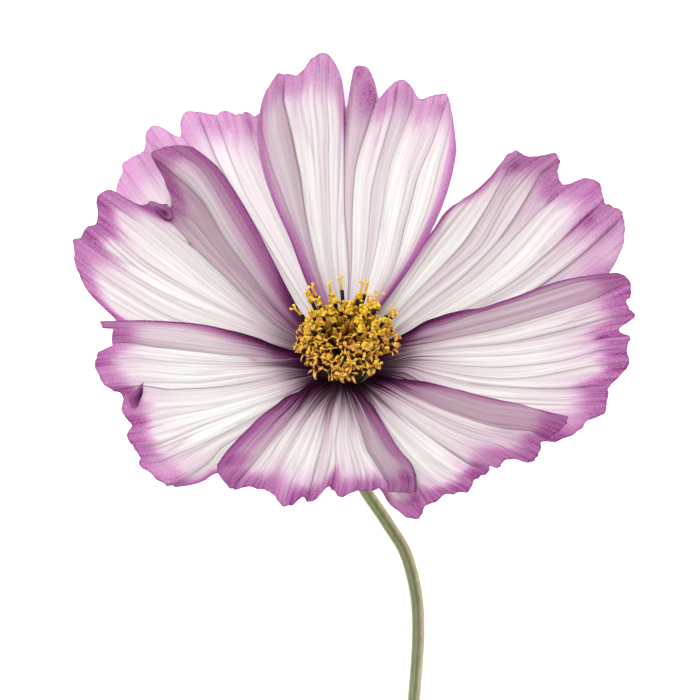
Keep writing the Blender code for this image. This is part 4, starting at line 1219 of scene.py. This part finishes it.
# Kinds of floret. Heights are shares of its length; the rest is in mm and degrees.
FLORET_KINDS = {
    "bud": dict(mouth=0.0),
    "pollen": dict(mouth=0.5, flare=(5, 40), curl=(50, 120), lobe=(0.7, 1.05), wide=0.25,
                   twist=40, anthers=(0.4, 0.8), lump=(0.74, 1.0), arms=0.8,
                   arm=(0.5, 0.85), arm_lean=(20, 60), arm_curl=(10, 80)),
    "style": dict(mouth=0.48, flare=(10, 50), curl=(60, 140), lobe=(0.7, 1.0), wide=0.22,
                  twist=60, anthers=(0.4, 0.74), stalk=(0.66, 0.93), arms=1.0,
                  arm=(0.7, 1.0), arm_lean=(25, 55), arm_curl=(0, 50)),
    "open": dict(mouth=0.66, flare=(5, 60), curl=(90, 210), lobe=(1.0, 1.5), wide=0.25,
                 twist=70, anthers=(0.5, 0.88), lump=(0.82, 1.0), arms=0.6,
                 arm=(0.5, 0.9), arm_lean=(30, 70), arm_curl=(60, 170)),
    "spent": dict(mouth=0.66, flare=(10, 90), curl=(130, 340), lobe=(1.1, 1.8), wide=0.21,
                  twist=170, anthers=(0.45, 0.69), arms=1.0,
                  arm=(0.8, 1.4), arm_lean=(10, 70), arm_curl=(80, 300)),
}


def floret_parts(kind, length, age, rng):
    """The parts of one floret about the Z axis, each with its material's number."""
    shape = FLORET_KINDS[kind]
    parts = []

    # tip: share for the finish's ramp, low where painted shade darkens the floret
    def add(obj, tip, material=0):
        add_values(obj, "tip", tip(get_points(obj)))
        add_values(obj, "age", np.full(len(obj.data.vertices), age))
        parts.append((obj, material))

    def along_strand(low, high):
        row = TUBES[STRAND_SIDES, STRAND_ROWS][2]
        return lambda points: low + (high - low) * row / STRAND_ROWS

    if kind == "bud":
        profile = [(0, 0), (0, 0.22), (0.4, 0.28), (0.62, 0.36), (0.8, 0.35), (0.9, 0.24),
                   (0.97, 0.1), (1, 0)]
        bud = revolved("bud", 20, [(z * length, r) for z, r in profile], 5, 0.22, 0.1,
                       rng.randint(999))
        add(bud, lambda p: 0.1 + 0.45 * (p[:, 2] / length) ** 2)
        return parts
    mouth = shape["mouth"] * length
    profile = [(0, 0), (0, 0.20), (0.35 * mouth, 0.24), (0.65 * mouth, 0.38),
               (0.88 * mouth, 0.50), (mouth, 0.54), (mouth + 0.02, 0.50),
               (mouth - 0.3, 0.40), (mouth - 0.9, 0.2), (mouth - 0.9, 0)]
    corolla = revolved("corolla", COROLLA_SIDES, profile, 5, 0.08, 0.08, rng.randint(999))
    inner = TUBES[COROLLA_SIDES, len(profile) - 1][2] >= 6
    # painted shade: darker down the tube and inside it
    add(corolla, lambda p: (0.3 + 0.5 * np.clip(p[:, 2] / mouth, 0, 1)) * np.where(inner, 0.3, 1))
    first = rng.uniform(0, 2 * pi)
    for i in range(5):
        lobe = curl_strand("lobe", first + i * 2 * pi / 5 + rng.uniform(-0.2, 0.2), 0.46,
                           mouth - 0.06, rng.uniform(*shape["lobe"]),
                           rng.uniform(*shape["flare"]), rng.uniform(*shape["curl"]),
                           rng.uniform(-1, 1) * shape["twist"],
                           lobe_width(shape["wide"] * rng.uniform(0.8, 1.2)),
                           lobe_width(0.07), rng)
        add(lobe, along_strand(0.65, 1.0))
    low, high = (share * length for share in shape["anthers"])
    anthers = revolved("anthers", 10, [(low, 0), (low, 0.2), (low + 0.2, 0.25),
                                       (high - 0.2, 0.28), (high, 0.2), (high, 0)], 5, 0.08)
    add(anthers, lambda p: np.zeros(len(p)), 1)
    if "lump" in shape:
        low, high = (share * length for share in shape["lump"])
        wide = rng.uniform(0.75, 1.0)
        profile = [(0, 0), (0, 0.24), (0.08, 0.40), (0.18, 0.52), (0.3, 0.56), (0.42, 0.52),
                   (0.54, 0.50), (0.66, 0.46), (0.78, 0.36), (0.88, 0.30), (0.96, 0.18),
                   (1, 0.08), (1, 0)]
        lump = revolved("pollen", 16, [(low + z * (high - low), r * wide) for z, r in profile],
                        3, 0.08, 0.6, rng.randint(999))
        # painted shade: the pollen lump is darker near its axis
        add(lump, lambda p: np.clip(0.72 + 0.9 * (np.hypot(p[:, 0], p[:, 1]) - 0.35), 0.5, 1))
        high -= 0.15
    if "stalk" in shape:
        low, high = (share * length for share in shape["stalk"])
        stalk = revolved("stalk", 10, [(low, 0), (low, 0.24), (low + 0.3, 0.2),
                                       (high - 0.4, 0.16), (high, 0.2), (high, 0)], 0, 0.0, 0.1)
        add(stalk, lambda p: 0.6 + 0.25 * (p[:, 2] - low) / (high - low))
        high -= 0.12
    if rng.rand() < shape["arms"]:
        first = rng.uniform(0, pi)
        for side in (0, 1):
            width = arm_width(0.15 if kind != "spent" else 0.11)
            arm = curl_strand("arm", first + pi * side + rng.uniform(-0.4, 0.4), 0.03, high,
                              rng.uniform(*shape["arm"]), rng.uniform(*shape["arm_lean"]),
                              rng.uniform(*shape["arm_curl"]), 0, width, width, rng)
            add(arm, along_strand(0.75, 0.95))
    return parts


def choose_floret(ring, back, chance, rng):
    """Kind and age: buds in the middle, fresh at the back, spent at the front."""
    if ring == 0 or ring == 1 and chance < 0.3:
        return "bud", rng.uniform(0.2, 0.5)
    if ring == LAST_RING and back > 0.4:
        return ("pollen" if chance < 0.2 else "style"), rng.uniform(0, 0.1)
    if ring == LAST_RING and back > -0.35:
        return ("open" if chance < 0.5 else "spent"), rng.uniform(0.2, 0.7)
    if back > -0.02:
        return ("open" if chance < 0.6 else "pollen"), rng.uniform(0, 0.3)
    if back > -0.5:
        return ("open" if chance < 0.6 else "spent"), rng.uniform(0.1, 0.5)
    return ("open" if chance < 0.15 else "spent"), rng.uniform(0.4, 1)


def disc_pieces(materials):
    """The florets, each grown by itself, joined into one piece for each ring."""
    rng = np.random.RandomState(5)
    pieces = []
    for ring, (radius, count, first, front, rear) in enumerate(FLORET_RINGS):
        members = []
        for i in range(count):
            if ring == LAST_RING and i in BARE_PLACES:
                continue
            azimuth = radians(first + i * 360 / count + rng.uniform(-5, 5))
            back = sin(azimuth)
            kind, age = choose_floret(ring, back * radius / DISC_RADIUS, rng.rand(), rng)
            length = front + (rear - front) * (0.5 + 0.5 * back) ** 2
            length *= rng.uniform(0.9, 1.1)
            lean = radians(FLORET_LEAN) * (radius / DISC_RADIUS) ** LEAN_GROWTH
            lean += radians(rng.uniform(-8, 8))
            foot = Vector((radius * cos(azimuth), radius * sin(azimuth),
                           dome_height(radius) + FLORET_FOOT))
            turn = Euler((radians(rng.uniform(-8, 8)), lean, azimuth), "XYZ")
            where = HEAD @ Matrix.Translation(foot) @ turn.to_matrix().to_4x4()
            bend = rng.uniform(-1, 1, 2) * (1.0 if kind == "style" else 0.4)
            for obj, material in floret_parts(kind, length, age, rng):
                points = get_points(obj)
                points[:, :2] += bend * (points[:, 2:] / length) ** 2
                set_points(obj, points)
                place(obj, where)
                obj.data.materials.clear()
                obj.data.materials.append(materials[material])
                members.append(obj)
        only(members[0])
        for member in members:
            member.select_set(True)
        bpy.ops.object.join()
        piece = members[0]
        piece.name = piece.data.name = f"florets_ring_{ring + 1}"
        pieces.append(piece)
    for mesh, _, _ in TUBES.values():
        bpy.data.meshes.remove(mesh)
    return pieces


# ---------------------------------------------------------------- stage

def build_stage():
    """A pale floor, even daylight and two soft lamps."""
    bpy.ops.object.select_all(action="DESELECT")
    bpy.ops.mesh.primitive_plane_add(size=FLOOR_SIZE, location=(0, 0, cad_low.z - FLOOR_GAP))
    floor = bpy.context.object
    floor.name = "pale_floor"
    f = Finish("floor_paint")
    grain = f.noise(f.place(), 40.0, 2.0)
    paint = f.ramp(grain, (0.3, (0.90, 0.90, 0.90)), (0.7, (0.92, 0.92, 0.92)))
    skin = f.add("ShaderNodeBsdfPrincipled", {"Base Color": paint, "Roughness": 0.9,
                                              "Specular IOR Level": 0.0,
                                              "Emission Color": (1, 1, 1, 1),
                                              "Emission Strength": 0.5})
    floor.data.materials.append(f.end(skin.outputs[0]))

    world = bpy.data.worlds.new("studio")
    bpy.context.scene.world = world
    world.use_nodes = True
    back = world.node_tree.nodes["Background"]
    back.inputs["Color"].default_value = (1, 1, 1, 1)
    back.inputs["Strength"].default_value = DAYLIGHT

    for name, location, size, power in LAMPS:
        lamp = bpy.data.lights.new(name, "AREA")
        lamp.shape = "DISK"
        lamp.size = size
        lamp.energy = power
        light = bpy.data.objects.new(name, lamp)
        bpy.context.scene.collection.objects.link(light)
        light.location = location
        aim = HEAD_CENTRE * MM - Vector(location)
        light.rotation_euler = aim.to_track_quat("-Z", "Y").to_euler()


def build_camera():
    """Far above the head and turned as it is, so that nothing narrows with depth."""
    lens = bpy.data.cameras.new("camera")
    camera = bpy.data.objects.new("camera", lens)
    bpy.context.scene.collection.objects.link(camera)
    lens.sensor_width = SENSOR_WIDTH
    lens.lens = SENSOR_WIDTH * CAMERA_DISTANCE / VIEW_WIDTH
    lens.clip_start, lens.clip_end = 0.5, 40.0
    camera.location = (LAID @ Vector((*VIEW_CENTRE, CAMERA_DISTANCE))) * MM
    camera.rotation_euler = (0, radians(LAID_TURN), 0)
    bpy.context.scene.camera = camera
    bpy.context.scene.view_settings.view_transform = "Standard"


# ---------------------------------------------------------------- the whole flower

build_camera()
build_stage()

petal_material = petal_finish()
for node, shape in PETALS.items():
    finish_piece(petal_piece(node, shape), petal_material, node)

finish_piece(receptacle_piece(), receptacle_finish(), "receptacle")

inner_skin = plain_finish("inner_bract_skin", colour(150, 140, 80), colour(196, 190, 130))
outer_skin = plain_finish("outer_bract_skin", colour(60, 84, 34), colour(96, 120, 52))
for i in range(BRACT_COUNT):
    finish_piece(bract_piece(f"bract_inner_{i + 1}", INNER_BRACT, i),
                 inner_skin, f"inner_bract_{i + 1}")
    finish_piece(bract_piece(f"bract_outer_{i + 1}", OUTER_BRACT, i),
                 outer_skin, f"outer_bract_{i + 1}")

finish_piece(stem_piece(), stem_finish(), "stem")

floret_skins = (floret_finish(),
                plain_finish("floret_anthers", colour(8, 5, 4), colour(34, 22, 14)))
for ring, piece in enumerate(disc_pieces(floret_skins)):
    finish_piece(piece, None, f"disc_florets_{ring + 1}")
